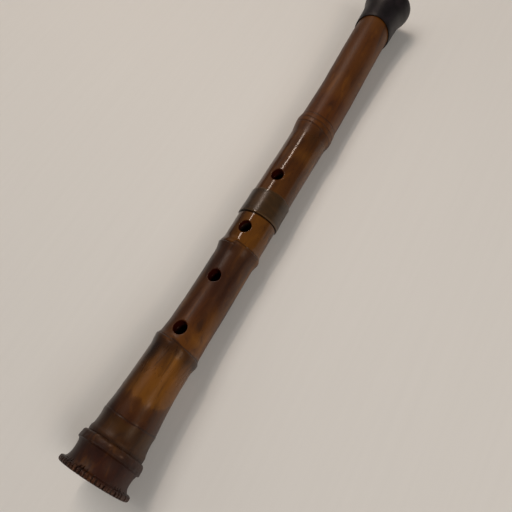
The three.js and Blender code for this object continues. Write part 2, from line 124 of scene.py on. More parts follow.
# Waves round the flute, of a scar line and of the band's edge: (times round, phase, height). A scar line's
# heights are shares of LINE_WAVE
LINE_WAVES = [(2, 1, 0.5), (5, 2, 0.3), (9, 3, 0.2)]
BAND_WAVES = [(2, 1, 0.35), (5, 0, 0.15)]

# Root end
RIM_RADIUS = 30.5
CAD_SIDES = 36
RIM_LENGTH = 4.4
RIM_ROUND = 1.6
COVE_DROP = 0.6
WAIST = (11.5, 24.8)
RIDGE_AT = 19.0
RIDGE_RADIUS = 27.6
RIDGE_LENGTH = 8.2
RIDGE_ROUND = 0.9
RIDGE_FALL = 2.6
RIDGE_LUMPS = 0.34
LUMP_SIZES = (3.1, 1.3)
RIDGE_SINK = 0.25
RUGGED_IN = 1.2
RUGGED_LENGTH = 8.0
RUGGED_OUT = 2.0
CROWN_DROP = 0.35
LEDGE = (31.4, 24.4)
STUB_COUNT = 56
STUB_GAP = 1.2
STUB_LENGTH = 4.3
STUB_FADE = 1.2
STUB_FULL_SHARE = 1.08
STUB_GAP_LEAD = 0.25
STUB_TURN_SHARE = 0.16
STUB_WIDTH_SHARES = (0.5, 0.84)
STUB_GAP_SHARES = (0.35, 1.25)
STUB_LENGTH_SHARES = (0.6, 1.3)
# Painted shadow lines at the feet of the ridge: (station, width)
RIDGE_SHADOW_LINES = [(20.3, 0.9), (28.4, 1.1)]

# Painted glints, pale spots on the lower cane: (station, degrees from the top toward -Y, reach along, reach
# round in degrees)
GLINT_SPOTS = [
    (22.4, 42, 0.6, 2.4), (26.6, -8, 0.7, 2.2), (24.6, 18, 0.8, 2), (48.3, 39, 1.0, 2.6),
    (64.6, 39, 2.0, 3.0),
]
GLINTS_TO = 80
STUB_GLINT_REACH = 2.0
STUB_GLINT_SHARE = 0.7
SPECKS_ALONG = 0.9
SPECKS_ROUND = 30.0

# Patches of another tone on the cane: (station, degrees from the top toward -Y, reach along, reach round in
# degrees, tone), golden over 0 and dark brown under it
LOWER_PATCHES = [
    (46, -18, 5, 20, -0.5), (40, 55, 9, 10, -0.3), (57, 57, 4, 5, -0.5), (84, 48, 20, 40, 0.25),
    (99, -24, 9, 20, -0.7), (101, 32, 7, 13, 0.35), (109, -36, 7, 20, -0.5), (109, 92, 4, 16, -0.7),
    # The golden patches at 90 and 94 degrees run along the -Y edge: painted reflection, lightening that side
    (125, 62, 11, 34, 0.35), (146, 62, 12, 28, 0.3), (149, -44, 9, 14, 0.35), (162, 90, 22, 12, 0.25),
    (196, 94, 26, 12, 0.45), (191, 66, 9, 9, 0.2), (196, 36, 12, 16, -0.15), (233, 84, 14, 20, 0.15),
    # The dark patches at -30 degrees, at stations 230 and 80, are painted shade on the +Y side
    (230, -30, 20, 26, -0.3), (80, -30, 16, 24, -0.45), (8, 2, 6, 12, -0.5),
]
UPPER_PATCHES = [
    (281, 20, 12, 14, 0.15), (311, 18, 7, 12, -0.3), (322, 40, 9, 16, 0.15), (343, 34, 10, 22, -0.4),
    (362, 60, 3, 12, -0.35), (381, 34, 8, 16, 0.2), (389, 50, 10, 10, -0.3), (408, 8, 10, 8, -0.2),
    # The long golden patches at 84 degrees run along the -Y edge: painted reflection, lightening that side
    (420, 30, 9, 12, 0.2), (500, 16, 22, 28, 0.12), (330, 84, 60, 20, 0.25), (470, 84, 60, 20, 0.25),
]

# Bore
MOUTH_BORE = 10.0
JOINT_BORE = 8.9
NARROW_BORE = 8.2
ROOT_BORE = 9.8
NARROW_AT = 130.0
ROOT_FLARE = (6.0, 10.6)
LOWER_CANE_BORE = 11.5
UPPER_CANE_BORE = 11.8

# Holes: (station, radius, centre angle)
UP = math.pi
DOWN = 0.0
HOLE_ROUND = 0.9
HOLE_STRETCH = 1.07
FINGER_HOLE = 5.5
HOLE_1 = (JOINT_AT * 0.508, 5.8, UP)
HOLE_2 = (JOINT_AT * 0.7264, FINGER_HOLE, UP)
HOLE_3 = (JOINT_AT * 0.9372, FINGER_HOLE, UP)
HOLE_4 = (JOINT_AT + UPPER_LENGTH * 0.147, FINGER_HOLE, UP)
THUMB_HOLE = (JOINT_AT + UPPER_LENGTH * 0.2625, 5.3, DOWN)
HOLE_BLOCK = 10.0
BLOCK_ROWS = 20
WALL_STEPS = 5
WASH_POWER = 1.3

# Half the width of the patch that a hole takes up, in degrees round the cane, a lining and the tenon
CANE_PATCH = 37.5
LINING_PATCH = 62.5
TENON_PATCH = 52.5

# Where the loops of a patch lie between the hole's rim, 0, and the patch's border, 1
OUTER_LOOP_SHARES = (0.75, 0.52, 0.32, 0.16, 0.05, 0.0)
INNER_LOOP_SHARES = (0.25, 0.6)

# Joint
TENON_RADIUS = 13.2
TENON_GLUE_LENGTH = 28.0
SOCKET_DEPTH = 29.0
SLEEVE_WALL = 1.5
TENON_LEAD = 0.8
GROOVE_EDGE = 0.15
SLEEVE_INSET = 0.05
SEAL_SECTION = 0.95
SEAL_PROUD = 0.15
SEAL_SHARES = (0.25, 0.6)
SEAL_CENTRE = TENON_RADIUS + SEAL_PROUD - SEAL_SECTION
SEAL_CORNERS = 16
SEAL_LIP = 0.05
SEAL_LIP_WIDTH = 0.2
BAND_LENGTH = 26.2
BAND_INNER = 18.3
BAND_LIP_RADIUS = 19.7
BAND_RADIUS = 19.35
BAND_TURN = 13.0
BAND_LIP = 0.6
BAND_WANDER = 0.05
BAND_WANDER_SIZE = 5.0
RUBBED_LENGTH = 1.1
RUBBED_TURN = 0.5

# The band's painted highlights along its edges, at the joint and at its other end: (inset, reach, strength,
# its change toward +Y)
BAND_EDGE_GLINTS = [(0.45, 0.3, 0.6, -0.4), (0.3, 0.45, 0.5, 0.5)]
SEAM_WIDTH = 1.05
SEAM_DEPTH = 0.55
SEAM_SLOPE = 0.3
SEAM_SWING_SHARE = 0.4
POCKET_AT = JOINT_AT - TENON_GLUE_LENGTH
SOCKET_END = JOINT_AT + SOCKET_DEPTH
UPPER_AT = JOINT_AT + FIT_GAP / 2
LOWER_END = JOINT_AT - FIT_GAP / 2
BAND_END = JOINT_AT + BAND_LENGTH
SLEEVE_INNER = TENON_RADIUS + FIT_GAP
SLEEVE_OUTER = SLEEVE_INNER + SLEEVE_WALL

# Blowing edge
BEVEL_LENGTH = 12.5
BLADE = 0.5
INLAY_LENGTH = 10.5
INLAY_EDGE_WIDTH = 14.0
INLAY_BACK_WIDTH = 9.0
OVERRUN = 4.0

# Mouth cap
CAP_RIM_AT = 499.4
CAP_RIM_SLANT = 5.6
CAP_RIM_RADIUS = 19.65
CAP_WALL = 2.3
CAP_END_WALL = 2.7
CAP_FLARE_RADIUS = 24.95
CAP_FLARE_AT = 541.6
CAP_GRIP_LENGTH = 24.0
CAP_END_ROUND = 3.2
CAP_EDGE = 0.45
CAP_SLANT_FADE = 16.0
CAP_ROWS = 44
CAP_FLOOR_SHARES = (0.3, 0.6, 0.9)
CAP_END_SHARES = (0.9, 0.7, 0.45, 0.2)
CAP_LIP_SHADOW = 0.4
CAP_LIP_SHADOW_FADE = 0.9
CAP_SIDE_SHARES = [
    (0, 0), (0.1, 0.09), (0.35, 0.14), (0.5, 0.19), (0.63, 0.27), (0.76, 0.48), (0.88, 0.79), (1, 1),
]
CAP_END = MOUTH_AT + FIT_GAP + CAP_END_WALL

# The flute lies on its rim and on its upper node, and the frame's origin is under its middle
FLAT_SHARE = math.cos(math.pi / CAD_SIDES)
REST_HEIGHT = RIM_RADIUS * FLAT_SHARE - ROOT_RISE
DIP_RISE = -1.687
RIM_FINE_RADIUS = RIM_RADIUS * FLAT_SHARE - 0.03
MIDDLE = (CAP_END - ROOT_LEAN * (RIM_RADIUS - RIM_ROUND) * FLAT_SHARE) / 2


def ease(start, end, share):
    """From one value to another with a level start and end."""
    held = min(max(share, 0.0), 1.0)
    return start + (end - start) * (1 - math.cos(math.pi * held)) / 2


def centre_rise(station):
    if station < HEEL[1]:
        return ease(ROOT_RISE, HEEL_RISE, (station - RIM_LENGTH) / (HEEL[0] - RIM_LENGTH))
    if station < JOINT_AT:
        return ease(HEEL_RISE, 0, (station - HEEL[1]) / (JOINT_BEND_TO - HEEL[1]))
    if station < DIP[1]:
        return ease(0, DIP_RISE, (station - DIP_BEND_FROM) / (DIP[0] - DIP_BEND_FROM))
    return ease(DIP_RISE, MOUTH_RISE, (station - DIP[1]) / (MOUTH_BEND_TO - DIP[1]))


def lean_at(station):
    """How far a ring leans toward the mouth with its height: square to the centre line, and more at the
    root end, as its face and its ridge do."""
    return (centre_rise(station - 1) - centre_rise(station + 1)) / 2 + ease(ROOT_LEAN, 0, station / HEEL[1])


def row_point(station, radius, angle, rise=None):
    """A point in the row frame, in metres. A straight piece gives its own rise, and doesn't lean."""
    height = centre_rise(station) if rise is None else rise
    lean = lean_at(station) if rise is None else 0
    across = radius * math.sin(angle)
    up = -radius * math.cos(angle)
    return Vector((station + lean * up - MIDDLE, across, REST_HEIGHT + height + up)) * MM


def smooth_along(table, place):
    """The value at a place of a table of (place, value), on a curve that doesn't overshoot its steps."""

    def tangent(before, after):
        """A slope between two steps: their harmonic mean, or level where they turn."""
        return 0.0 if before * after <= 0 else 2 * before * after / (before + after)

    held = min(max(place, table[0][0]), table[-1][0])
    index = next(i for i in range(1, len(table)) if table[i][0] >= held)
    slopes = [(y1 - y0) / (x1 - x0) for (x0, y0), (x1, y1) in zip(table, table[1:])]
    before, slope, after = (slopes[:1] + slopes + slopes[-1:])[index - 1:index + 2]
    (x0, y0), (x1, y1) = table[index - 1], table[index]
    width = x1 - x0
    t = (held - x0) / width
    return (
        y0 * (2 * t**3 - 3 * t**2 + 1)
        + tangent(before, slope) * width * (t**3 - 2 * t**2 + t)
        + y1 * (3 * t**2 - 2 * t**3)
        + tangent(slope, after) * width * (t**3 - t**2)
    )


def quarter(start, end, upright, steps=ARC_STEPS):
    """A quarter of an ellipse between two (station, radius) points. An upright one leaves the first point
    square to the tube and comes to the second along it, and any other the other way round."""
    points = []
    for step in range(1, steps + 1):
        angle = math.pi / 2 * step / steps
        early = 1 - math.cos(angle)
        late = math.sin(angle)
        station_share, radius_share = (early, late) if upright else (late, early)
        station = start[0] + (end[0] - start[0]) * station_share
        points.append((station, start[1] + (end[1] - start[1]) * radius_share))
    return points


LOWER_TAPER = [(JOINT_AT * length, TUBE_RADIUS * size) for length, size in LOWER_TAPER_SHARES]
UPPER_TAPER = [(JOINT_AT + UPPER_LENGTH * length, TUBE_RADIUS * size) for length, size in UPPER_TAPER_SHARES]


def cane_radius(station):
    """The cane's outside with the swellings of its nodes, and without their scar lines."""
    taper, nodes = (LOWER_TAPER, LOWER_NODES) if station < JOINT_AT else (UPPER_TAPER, UPPER_NODES)
    radius = smooth_along(taper, station)
    for node in nodes:
        away = station - node.at
        radius += ease(node.height, 0, abs(away) / (node.rise if away < 0 else node.fall))
    return radius


def bore_radius(station):
    if station < ROOT_FLARE[0]:
        return ease(ROOT_FLARE[1], ROOT_BORE, station / ROOT_FLARE[0])
    if station < NARROW_AT:
        return ease(ROOT_BORE, NARROW_BORE, (station - ROOT_FLARE[0]) / (NARROW_AT - ROOT_FLARE[0]))
    if station < POCKET_AT:
        return ease(NARROW_BORE, JOINT_BORE, (station - NARROW_AT) / (POCKET_AT - NARROW_AT))
    return ease(JOINT_BORE, MOUTH_BORE, (station - SOCKET_END) / (MOUTH_AT - SOCKET_END))


def slant_at(nodes, station):
    return sum(ease(node.slant, 0, abs(station - node.at) / SLANT_REACH) for node in nodes)


def bell(distance, width):
    """A soft bump, 1 in its middle and almost nothing at twice its width."""
    return math.exp(-((distance / width) ** 2))


def step_down(distance, width):
    """1 before a place and 0 after it, with a soft edge."""
    return 0.5 - 0.5 * math.tanh(distance / width)


# Root stubs: each one's place round the rim, its width, the depth of its gap and its length
random.seed(18)
STUBS = []
for number in range(STUB_COUNT):
    turn = (number + random.uniform(-STUB_TURN_SHARE, STUB_TURN_SHARE)) * 2 * math.pi / STUB_COUNT
    ranges = (STUB_WIDTH_SHARES, STUB_GAP_SHARES, STUB_LENGTH_SHARES)
    STUBS.append((turn, *[random.uniform(*shares) for shares in ranges]))


def turn_from(angle, start):
    """How far round an angle is from another, between minus and plus half a turn."""
    return (angle - start + math.pi) % (2 * math.pi) - math.pi


def stub_gap(station, angle):
    """How far the rim is drawn in between two stubs, and the share of it for the painted shade in the gap."""
    pitch = 2 * math.pi / STUB_COUNT
    turn, width, depth, length = STUBS[round(angle / pitch) % STUB_COUNT]
    away = abs(turn_from(angle, turn)) / (pitch / 2)
    gap = ease(0, 1, (away - width) / (STUB_FULL_SHARE - width) + STUB_GAP_LEAD)
    reach = ease(1, 0, (station - STUB_LENGTH * length) / STUB_FADE)
    return gap * reach * STUB_GAP * depth, gap * reach


def waves(table, angle, start):
    """The height of some waves at an angle. The start shifts them, so that no two lines look the same."""
    return sum(height * math.sin(angle * times + start * phase) for times, phase, height in table)


def scar(node, station, angle):
    """What a node's scar lines add to the radius, how dark they are, and whether the place is past them."""
    added = dark = beyond = 0.0
    turn = turn_from(angle, math.radians(node.bud[0])) if node.bud else 0.0
    for index, (past, step, groove) in enumerate(node.lines):
        place = node.at + past + LINE_WAVE * waves(LINE_WAVES, angle, node.at + index)
        early = 0.0
        if node.bud:
            reach = node.bud[1] * math.exp(-abs(turn) / BUD_FADE)
            place += reach / 2 * math.tanh(-turn / BUD_TURN)
            early = reach * max(0.0, math.tanh(turn / BUD_TURN))
        distance = station - place
        beyond = BEYOND_FIRST_SHARE * ease(0, 1, (distance + BEYOND_LEAD) / BEYOND_STEP)
        beyond += (1 - BEYOND_FIRST_SHARE) * ease(0, 1, distance - early)
        if abs(distance) < LINE_REACH * 2:
            slope = step_down(distance, LINE_WIDTH * STEP_SOFTNESS_SHARE)
            added += step * slope * bell(min(distance, 0), LINE_REACH)
            added -= groove * bell(distance - LINE_WIDTH, LINE_WIDTH)
            lip = bell(distance + LINE_WIDTH * LIP_PLACE_SHARE, LINE_WIDTH * LIP_WIDTH_SHARE)
            added += groove * LIP_HEIGHT_SHARE * lip
            dark = max(dark, bell(distance - LINE_WIDTH * DARK_PLACE_SHARE, LINE_WIDTH * DARK_WIDTH_SHARE))
    if node.bud:
        along = station - node.at - node.lines[0][0]
        across = turn * TUBE_RADIUS
        added += BUD_HEIGHT * bell(math.hypot(across, along - BUD_PLACE), BUD_WIDTH)
        added -= BUD_DIP_DEPTH * bell(math.hypot(across, along - BUD_DIP_PLACE), BUD_DIP_WIDTH)
    return added, dark, beyond


def spot_share(spot, station, angle):
    """How much a place belongs to a spot: 1 in its middle, with soft edges."""
    at, turned, along, around = spot
    turn = (math.degrees(angle) - turned) % 360 - 180
    return math.exp(-(((station - at) / along) ** 2) - (turn / around) ** 2)


def tone_at(patches, station, angle):
    """How golden, or how dark under 0, the patches make a place of the cane."""
    return sum(tone * spot_share(spot, station, angle) for *spot, tone in patches)


def glint_at(station, angle):
    """How much a place of the lower cane takes the pale painted glints: its spots, and specks on the tops of
    its root stubs.
    """
    worn = max(spot_share(spot, station, angle) for spot in GLINT_SPOTS)
    if station < STUB_LENGTH:
        across = (SPECKS_ROUND * math.sin(angle), SPECKS_ROUND * math.cos(angle))
        speck = noise.noise(Vector((station * SPECKS_ALONG, *across)))
        fade = ease(1, 0, (station - STUB_GLINT_REACH) / STUB_GLINT_REACH)
        worn = max(worn, ease(0, STUB_GLINT_SHARE, speck * 2) * fade)
    return worn


def grown(nodes, patches):
    """The dress of a cane's outside: its slant, its uneven growth, its scars, its patches, and on the lower
    cane the root's stubs, its ridge and the seam's groove, with painted shade in the gaps and the seam,
    painted shadow lines and painted glints."""
    lower = nodes is LOWER_NODES

    def dress(station, radius, angle):
        marks = {"line": 0.0, "gap": 0.0, "tone": tone_at(patches, station, angle)}
        place = station + slant_at(nodes, station) * math.sin(angle)
        across = Vector((place, radius * math.sin(angle), radius * math.cos(angle)))
        radius += WANDER * noise.noise(across / WANDER_SIZE)
        for node in nodes:
            added, dark, marks["past"] = scar(node, station, angle)
            radius += added
            marks["line"] = max(marks["line"], dark)
        # The stubs' gaps are drawn in, and the gap mark paints shade in them
        if lower and station < STUB_LENGTH * 2:
            drawn_in, marks["gap"] = stub_gap(station, angle)
            radius -= drawn_in
        # Painted glints on the ridge's spots and the stubs' tops
        if lower and station < GLINTS_TO:
            marks["worn"] = glint_at(station, angle)
        if lower and RIDGE_AT - 1 < station < LEDGE[0]:
            window = ease(0, 1, (station - RIDGE_AT) / RUGGED_IN)
            window *= ease(1, 0, (station - RIDGE_AT - RUGGED_LENGTH) / RUGGED_OUT)
            lumps = noise.noise(across / LUMP_SIZES[0]) + noise.noise(across / LUMP_SIZES[1]) / 2
            radius += RIDGE_LUMPS * window * lumps - RIDGE_SINK * window
            # Painted shadow lines at the ridge's feet, in the line mark
            for line, width in RIDGE_SHADOW_LINES:
                marks["line"] = max(marks["line"], bell(station - line - lumps / 2, width))
        # The seam's groove at the joint, whose gap mark is painted shade, wider toward +Y
        if lower and station > LOWER_END - SEAM_WIDTH * 2:
            width = SEAM_WIDTH * (1 + SEAM_SWING_SHARE * math.sin(angle))
            marks["gap"] = ease(0, 1, (station - LOWER_END + width) / SEAM_SLOPE)
            radius -= SEAM_DEPTH * marks["gap"]
        return place, radius, marks

    return dress


def plain(station, radius, angle):
    """The dress of a smooth piece: nothing."""
    return station, radius, {}


MARKS = ("line", "gap", "wall", "cut", "tone", "worn", "past", "gloss")


class Shell:
    """A closed mesh under construction: its points, faces and marks."""

    def __init__(self):
        self.points = []
        self.faces = []
        self.marks = []

    def add(self, point, marks):
        self.points.append(point)
        self.marks.append(marks)
        return len(self.points) - 1

    def band(self, near, far):
        """Faces between two loops of point numbers, of which one may have a whole number of times more."""
        steps = max(len(near), len(far))
        for step in range(steps):
            corners = [
                near[round(step * len(near) / steps) % len(near)],
                near[round((step + 1) * len(near) / steps) % len(near)],
                far[round((step + 1) * len(far) / steps) % len(far)],
                far[round(step * len(far) / steps) % len(far)],
            ]
            face = [corner for i, corner in enumerate(corners) if corner != corners[i - 1]]
            if len(face) > 2:
                self.faces.append(face)


SHARP_ANGLE = math.radians(38)


def add_object(name, points, faces):
    """An object with a mesh of its own, in the scene."""
    mesh = bpy.data.meshes.new(name)
    mesh.from_pydata([tuple(point) for point in points], [], faces)
    made = bpy.data.objects.new(name, mesh)
    bpy.context.scene.collection.objects.link(made)
    return made


def settle(piece, node, body, material):
    """Make a finished object a piece that rides on a body and stands for its CAD node."""
    mesh = piece.data
    mesh.validate()
    mesh.materials.clear()
    mesh.materials.append(material)
    for polygon in mesh.polygons:
        polygon.use_smooth = True
    mesh.set_sharp_from_angle(angle=SHARP_ANGLE)
    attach(piece, body)
    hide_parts(node)
    return piece


class Block:
    """The patch of a tube's grid that a hole takes up, on its outside and on its inside."""

    def __init__(self, hole, half_angle):
        self.at, self.radius, self.centre = hole
        self.half = round(math.radians(half_angle) / COLUMN_TURN)
        self.middle = round(self.centre / COLUMN_TURN)
        self.start = self.at - HOLE_BLOCK
        self.end = self.at + HOLE_BLOCK
        step = 2 * HOLE_BLOCK / BLOCK_ROWS
        self.stations = [self.start + step * row for row in range(BLOCK_ROWS + 1)]

    def holds_row(self, station, margin=0.001):
        return self.start - margin <= station <= self.end + margin

    def offset(self, column):
        """How many columns away from the hole's middle one is."""
        return (column - self.middle + COLUMNS // 2) % COLUMNS - COLUMNS // 2

    def border(self):
        """The (row, columns away from the hole's middle) of each point round the patch."""
        steps = [(0, offset) for offset in range(-self.half, self.half)]
        steps += [(row, self.half) for row in range(BLOCK_ROWS)]
        steps += [(BLOCK_ROWS, offset) for offset in range(self.half, -self.half, -1)]
        return steps + [(row, -self.half) for row in range(BLOCK_ROWS, 0, -1)]

    def loop(self, rings):
        """Point numbers round the patch, from rings in the order of their stations."""
        return [rings[row][(self.middle + offset) % COLUMNS] for row, offset in self.border()]

    def places(self):
        """The (station, angle from the hole's middle) of each point of the loop."""
        return [(self.stations[row], offset * COLUMN_TURN) for row, offset in self.border()]


def stations_between(start, end, step, blocks, lines=()):
    """Stations from one place to another: even steps, close ones at scar lines, and each block's own."""
    kept = [b for b in blocks if start < b.at < end]
    anchors = sorted([start, end] + [edge for b in kept for edge in (b.start, b.end)])
    result = []
    for left, right in zip(anchors, anchors[1:]):
        if any(b.start <= left and right <= b.end for b in kept):
            continue
        here = left
        result.append(left)
        while here < right:
            close = any(abs(here - line) < LINE_STEP_REACH for line in lines)
            here += LINE_STEP if close else step
            if here < right - LINE_STEP:
                result.append(here)
    for block in kept:
        result += block.stations
    return sorted(set(round(value, 6) for value in result + [end]))


def tube(name, node, body, material, profile, blocks=(), dress=plain, rise=None):
    """A piece round the centre line, from rows of (station, radius, points, is outside, marks). The last row
    joins the first, unless both are single points on the axis. Blocks hold holes through the wall, whose
    edges are rounded over at one depth all the way round, as a saddle."""
    shell = Shell()
    rings = []
    for station, radius, count, outside, marks in profile:
        held = [b for b in blocks if count == COLUMNS and b.holds_row(station, -0.001)]
        ring = []
        for column in range(count):
            if any(abs(b.offset(column)) < b.half for b in held):
                ring.append(None)
                continue
            angle = column * 2 * math.pi / count
            place, dressed, found = dress(station, radius, angle) if outside else (station, radius, {})
            ring.append(shell.add(row_point(place, dressed, angle, rise), {**found, **marks}))
        rings.append(ring)
    last = len(rings) if len(rings[0]) > 1 else len(rings) - 1
    for row in range(last):
        after = (row + 1) % len(rings)
        near, far = rings[row], rings[after]
        if len(near) != len(far):
            shell.band(near, far)
            continue
        crossed = [b for b in blocks if b.holds_row(profile[row][0]) and b.holds_row(profile[after][0])]
        count = len(near)
        for column in range(count):
            face = [near[column], near[(column + 1) % count], far[(column + 1) % count], far[column]]
            if None not in face and not any(-b.half <= b.offset(column) < b.half for b in crossed):
                shell.faces.append(face)
    for block in blocks:
        cut_hole(shell, block, profile, rings, dress, rise)
    piece = add_object(name, shell.points, shell.faces)
    for mark in MARKS:
        layer = piece.data.attributes.new(mark, "FLOAT", "POINT")
        layer.data.foreach_set("value", [float(marks.get(mark, 0.0)) for marks in shell.marks])
    return settle(piece, node, body, material)


def cut_hole(shell, block, profile, rings, dress, rise):
    """Fill a block with a round hole: a patch, a rounded edge, the wall and the patch on the inside."""

    def rows_on(outside):
        rows = [
            (row[0], row[1], ring) for row, ring in zip(profile, rings)
            if len(ring) == COLUMNS and row[3] == outside and block.holds_row(row[0])
        ]
        return sorted(rows, key=lambda row: row[0])

    def radius_on(rows, station):
        held = min(max(station, rows[0][0]), rows[-1][0])
        index = next((i for i in range(1, len(rows)) if rows[i][0] >= held), len(rows) - 1)
        (x0, y0, _), (x1, y1, _) = rows[index - 1], rows[index]
        return y0 + (y1 - y0) * (held - x0) / max(x1 - x0, 1e-9)

    def circle(reach, rows):
        """Where a circle of this radius, drawn out along the flute, lies on the tube: (station, angle)."""
        found = []
        for direction in directions:
            station = block.at + reach * HOLE_STRETCH * math.cos(direction)
            found.append((station, math.asin(reach * math.sin(direction) / radius_on(rows, station))))
        return found

    def between(first, second, share):
        """The places of a loop that lies this share of the way from one to another."""
        return [(s0 + (s1 - s0) * share, t0 + (t1 - t0) * share) for (s0, t0), (s1, t1) in zip(first, second)]

    def add(station, across, height, marks):
        angle = block.centre + math.atan2(across, height)
        return shell.add(row_point(station, math.hypot(across, height), angle, rise), marks)

    def outside_loop(spots, depth, wall):
        """A loop on the dressed outside or sunk under it by a depth, and the height of each of its points."""
        loop = []
        heights = []
        for station, turn in spots:
            place, radius, found = dress(station, radius_on(outer_rows, station), block.centre + turn)
            heights.append(radius * math.cos(turn) - depth)
            loop.append(add(place, radius * math.sin(turn), heights[-1], {**found, "wall": wall}))
        return loop, heights

    def inside_loop(spots, share):
        """A loop this share of the way from the rounded edge's lowest points down to the inside."""
        loop = []
        for (station, turn), top in zip(spots, tops):
            radius = radius_on(inner_rows, station)
            height = top + (radius * math.cos(turn) - top) * share
            loop.append(add(station, radius * math.sin(turn), height, {"wall": 1.0}))
        return loop

    outer_rows, inner_rows = rows_on(True), rows_on(False)
    places = block.places()
    wall_radius = radius_on(outer_rows, block.at)
    directions = [math.atan2(wall_radius * turn, station - block.at) for station, turn in places]
    loops = [block.loop([ring for _, _, ring in outer_rows])]
    rim = circle(block.radius + HOLE_ROUND, outer_rows)
    for share in OUTER_LOOP_SHARES:
        loops.append(outside_loop(between(rim, places, share), 0.0, 0.0)[0])
    for step in range(1, ARC_STEPS + 1):
        angle = math.pi / 2 * step / ARC_STEPS
        edge = circle(block.radius + HOLE_ROUND * (1 - math.sin(angle)), outer_rows)
        loop, tops = outside_loop(edge, HOLE_ROUND * (1 - math.cos(angle)), (step / ARC_STEPS) ** WASH_POWER)
        loops.append(loop)
    bottom = circle(block.radius, inner_rows)
    loops += [inside_loop(bottom, step / WALL_STEPS) for step in range(1, WALL_STEPS + 1)]
    loops += [inside_loop(between(bottom, places, share), 1.0) for share in INNER_LOOP_SHARES]
    loops.append(block.loop([ring for _, _, ring in inner_rows]))
    for near, far in zip(loops, loops[1:]):
        shell.band(near, far)


def straight(start, end, steps):
    """Points on a line between two (station, radius) points, without the first."""
    shares = [step / steps for step in range(1, steps + 1)]
    return [(start[0] + (end[0] - start[0]) * k, start[1] + (end[1] - start[1]) * k) for k in shares]


def wall_points(start, end, radius, blocks=(), step=BORE_STEP, lines=()):
    """Points of a wall between two stations, whose radius is a number or follows from the station."""
    stations = stations_between(start, end, step, blocks, lines)
    return [(station, radius(station) if callable(radius) else radius) for station in stations]


def outside_rows(points, count=COLUMNS, **marks):
    return [(station, radius, count, True, marks) for station, radius in points]


def inside_rows(points, count=COLUMNS, **marks):
    return [(station, radius, count, False, marks) for station, radius in points]


# Node materials


def srgb(red, green, blue):
    """A linear colour from one as a screen shows it, in steps of 255."""
    return tuple(
        (value / 255 / 12.92) if value / 255 <= 0.04045 else ((value / 255 + 0.055) / 1.055) ** 2.4
        for value in (red, green, blue)
    ) + (1.0,)


class Finish:
    """A node material under construction. Its coordinates are the row frame's, in metres."""

    def __init__(self, name, **constants):
        self.material = bpy.data.materials.new(name)
        self.material.use_nodes = True
        self.tree = self.material.node_tree
        self.shader = self.tree.nodes["Principled BSDF"]
        for socket, value in constants.items():
            self.shader.inputs[socket.replace("_", " ")].default_value = value
        self.place = self.node("ShaderNodeTexCoord").outputs["Object"]

    def node(self, kind, inputs=(), **settings):
        """A node with its settings, and with what its inputs take by name or number."""
        made = self.tree.nodes.new(kind)
        for key, value in settings.items():
            setattr(made, key, value)
        for key, value in dict(inputs).items():
            self.feed(made.inputs[key], value)
        return made

    def feed(self, socket, value):
        if isinstance(value, bpy.types.NodeSocket):
            self.tree.links.new(value, socket)
        else:
            socket.default_value = value

    def math(self, operation, first, second):
        return self.node("ShaderNodeMath", {0: first, 1: second}, operation=operation).outputs[0]

    def part(self, value, share):
        return self.math("MULTIPLY", value, share)

    def lifted(self, value, share, level):
        """A level with a share of a value on top of it."""
        return self.math("ADD", self.part(value, share), level)

    def spread(self, value, low, high, most=1.0):
        """A value as a share of the way from low to high, eased, between 0 and the most it may be."""
        inputs = {"Value": value, "From Min": low, "From Max": high, "To Max": most}
        return self.node("ShaderNodeMapRange", inputs, interpolation_type="SMOOTHSTEP").outputs[0]

    def axes(self):
        return self.node("ShaderNodeSeparateXYZ", {0: self.place}).outputs

    def stretched(self, along, around, shift):
        """The place, scaled along the flute and across it, and shifted."""
        inputs = {"Scale": (along, around, around), "Location": (shift, shift, shift), "Vector": self.place}
        return self.node("ShaderNodeMapping", inputs).outputs[0]

    def noise(self, along, around, shift=0.0, **inputs):
        """Clouds of so many to the metre along the flute and across it."""
        vector = self.stretched(along, around, shift)
        usual = {"Vector": vector, "Scale": 1.0, "Detail": 4.0, "Roughness": 0.55}
        return self.node("ShaderNodeTexNoise", {**usual, **inputs}).outputs["Fac"]

    def cells(self, along, around, shift):
        inputs = {"Scale": 1.0, "Vector": self.stretched(along, around, shift)}
        return self.node("ShaderNodeTexVoronoi", inputs).outputs["Distance"]

    def mix(self, share, first, second, blend="MIX"):
        inputs = {0: share, 6: first, 7: second}
        return self.node("ShaderNodeMix", inputs, data_type="RGBA", blend_type=blend).outputs[2]

    def tint(self, share, base, colour):
        """A base with a colour, given as a screen shows it, mixed in by a share."""
        return self.mix(share, base, srgb(*colour))

    def ramp(self, share, stops):
        """Levels, or colours as a screen shows them, that follow each other at shares."""
        made = self.node("ShaderNodeValToRGB", {0: share})
        made.color_ramp.interpolation = "EASE"
        elements = made.color_ramp.elements
        elements.remove(elements[-1])
        for index, (place, value) in enumerate(stops):
            element = elements.new(place) if index else elements[0]
            element.position = place
            element.color = srgb(*value) if isinstance(value, tuple) else (value, value, value, 1)
        return made.outputs[0]

    def mark(self, name, share=1.0):
        return self.part(self.node("ShaderNodeAttribute", attribute_name=name).outputs["Fac"], share)

    def bump(self, height, distance, strength):
        made = self.node("ShaderNodeBump", {"Strength": strength, "Distance": distance, "Height": height})
        self.feed(self.shader.inputs["Normal"], made.outputs[0])

    def colour(self, value):
        self.feed(self.shader.inputs["Base Color"], value)

    def rough(self, value):
        self.feed(self.shader.inputs["Roughness"], value)


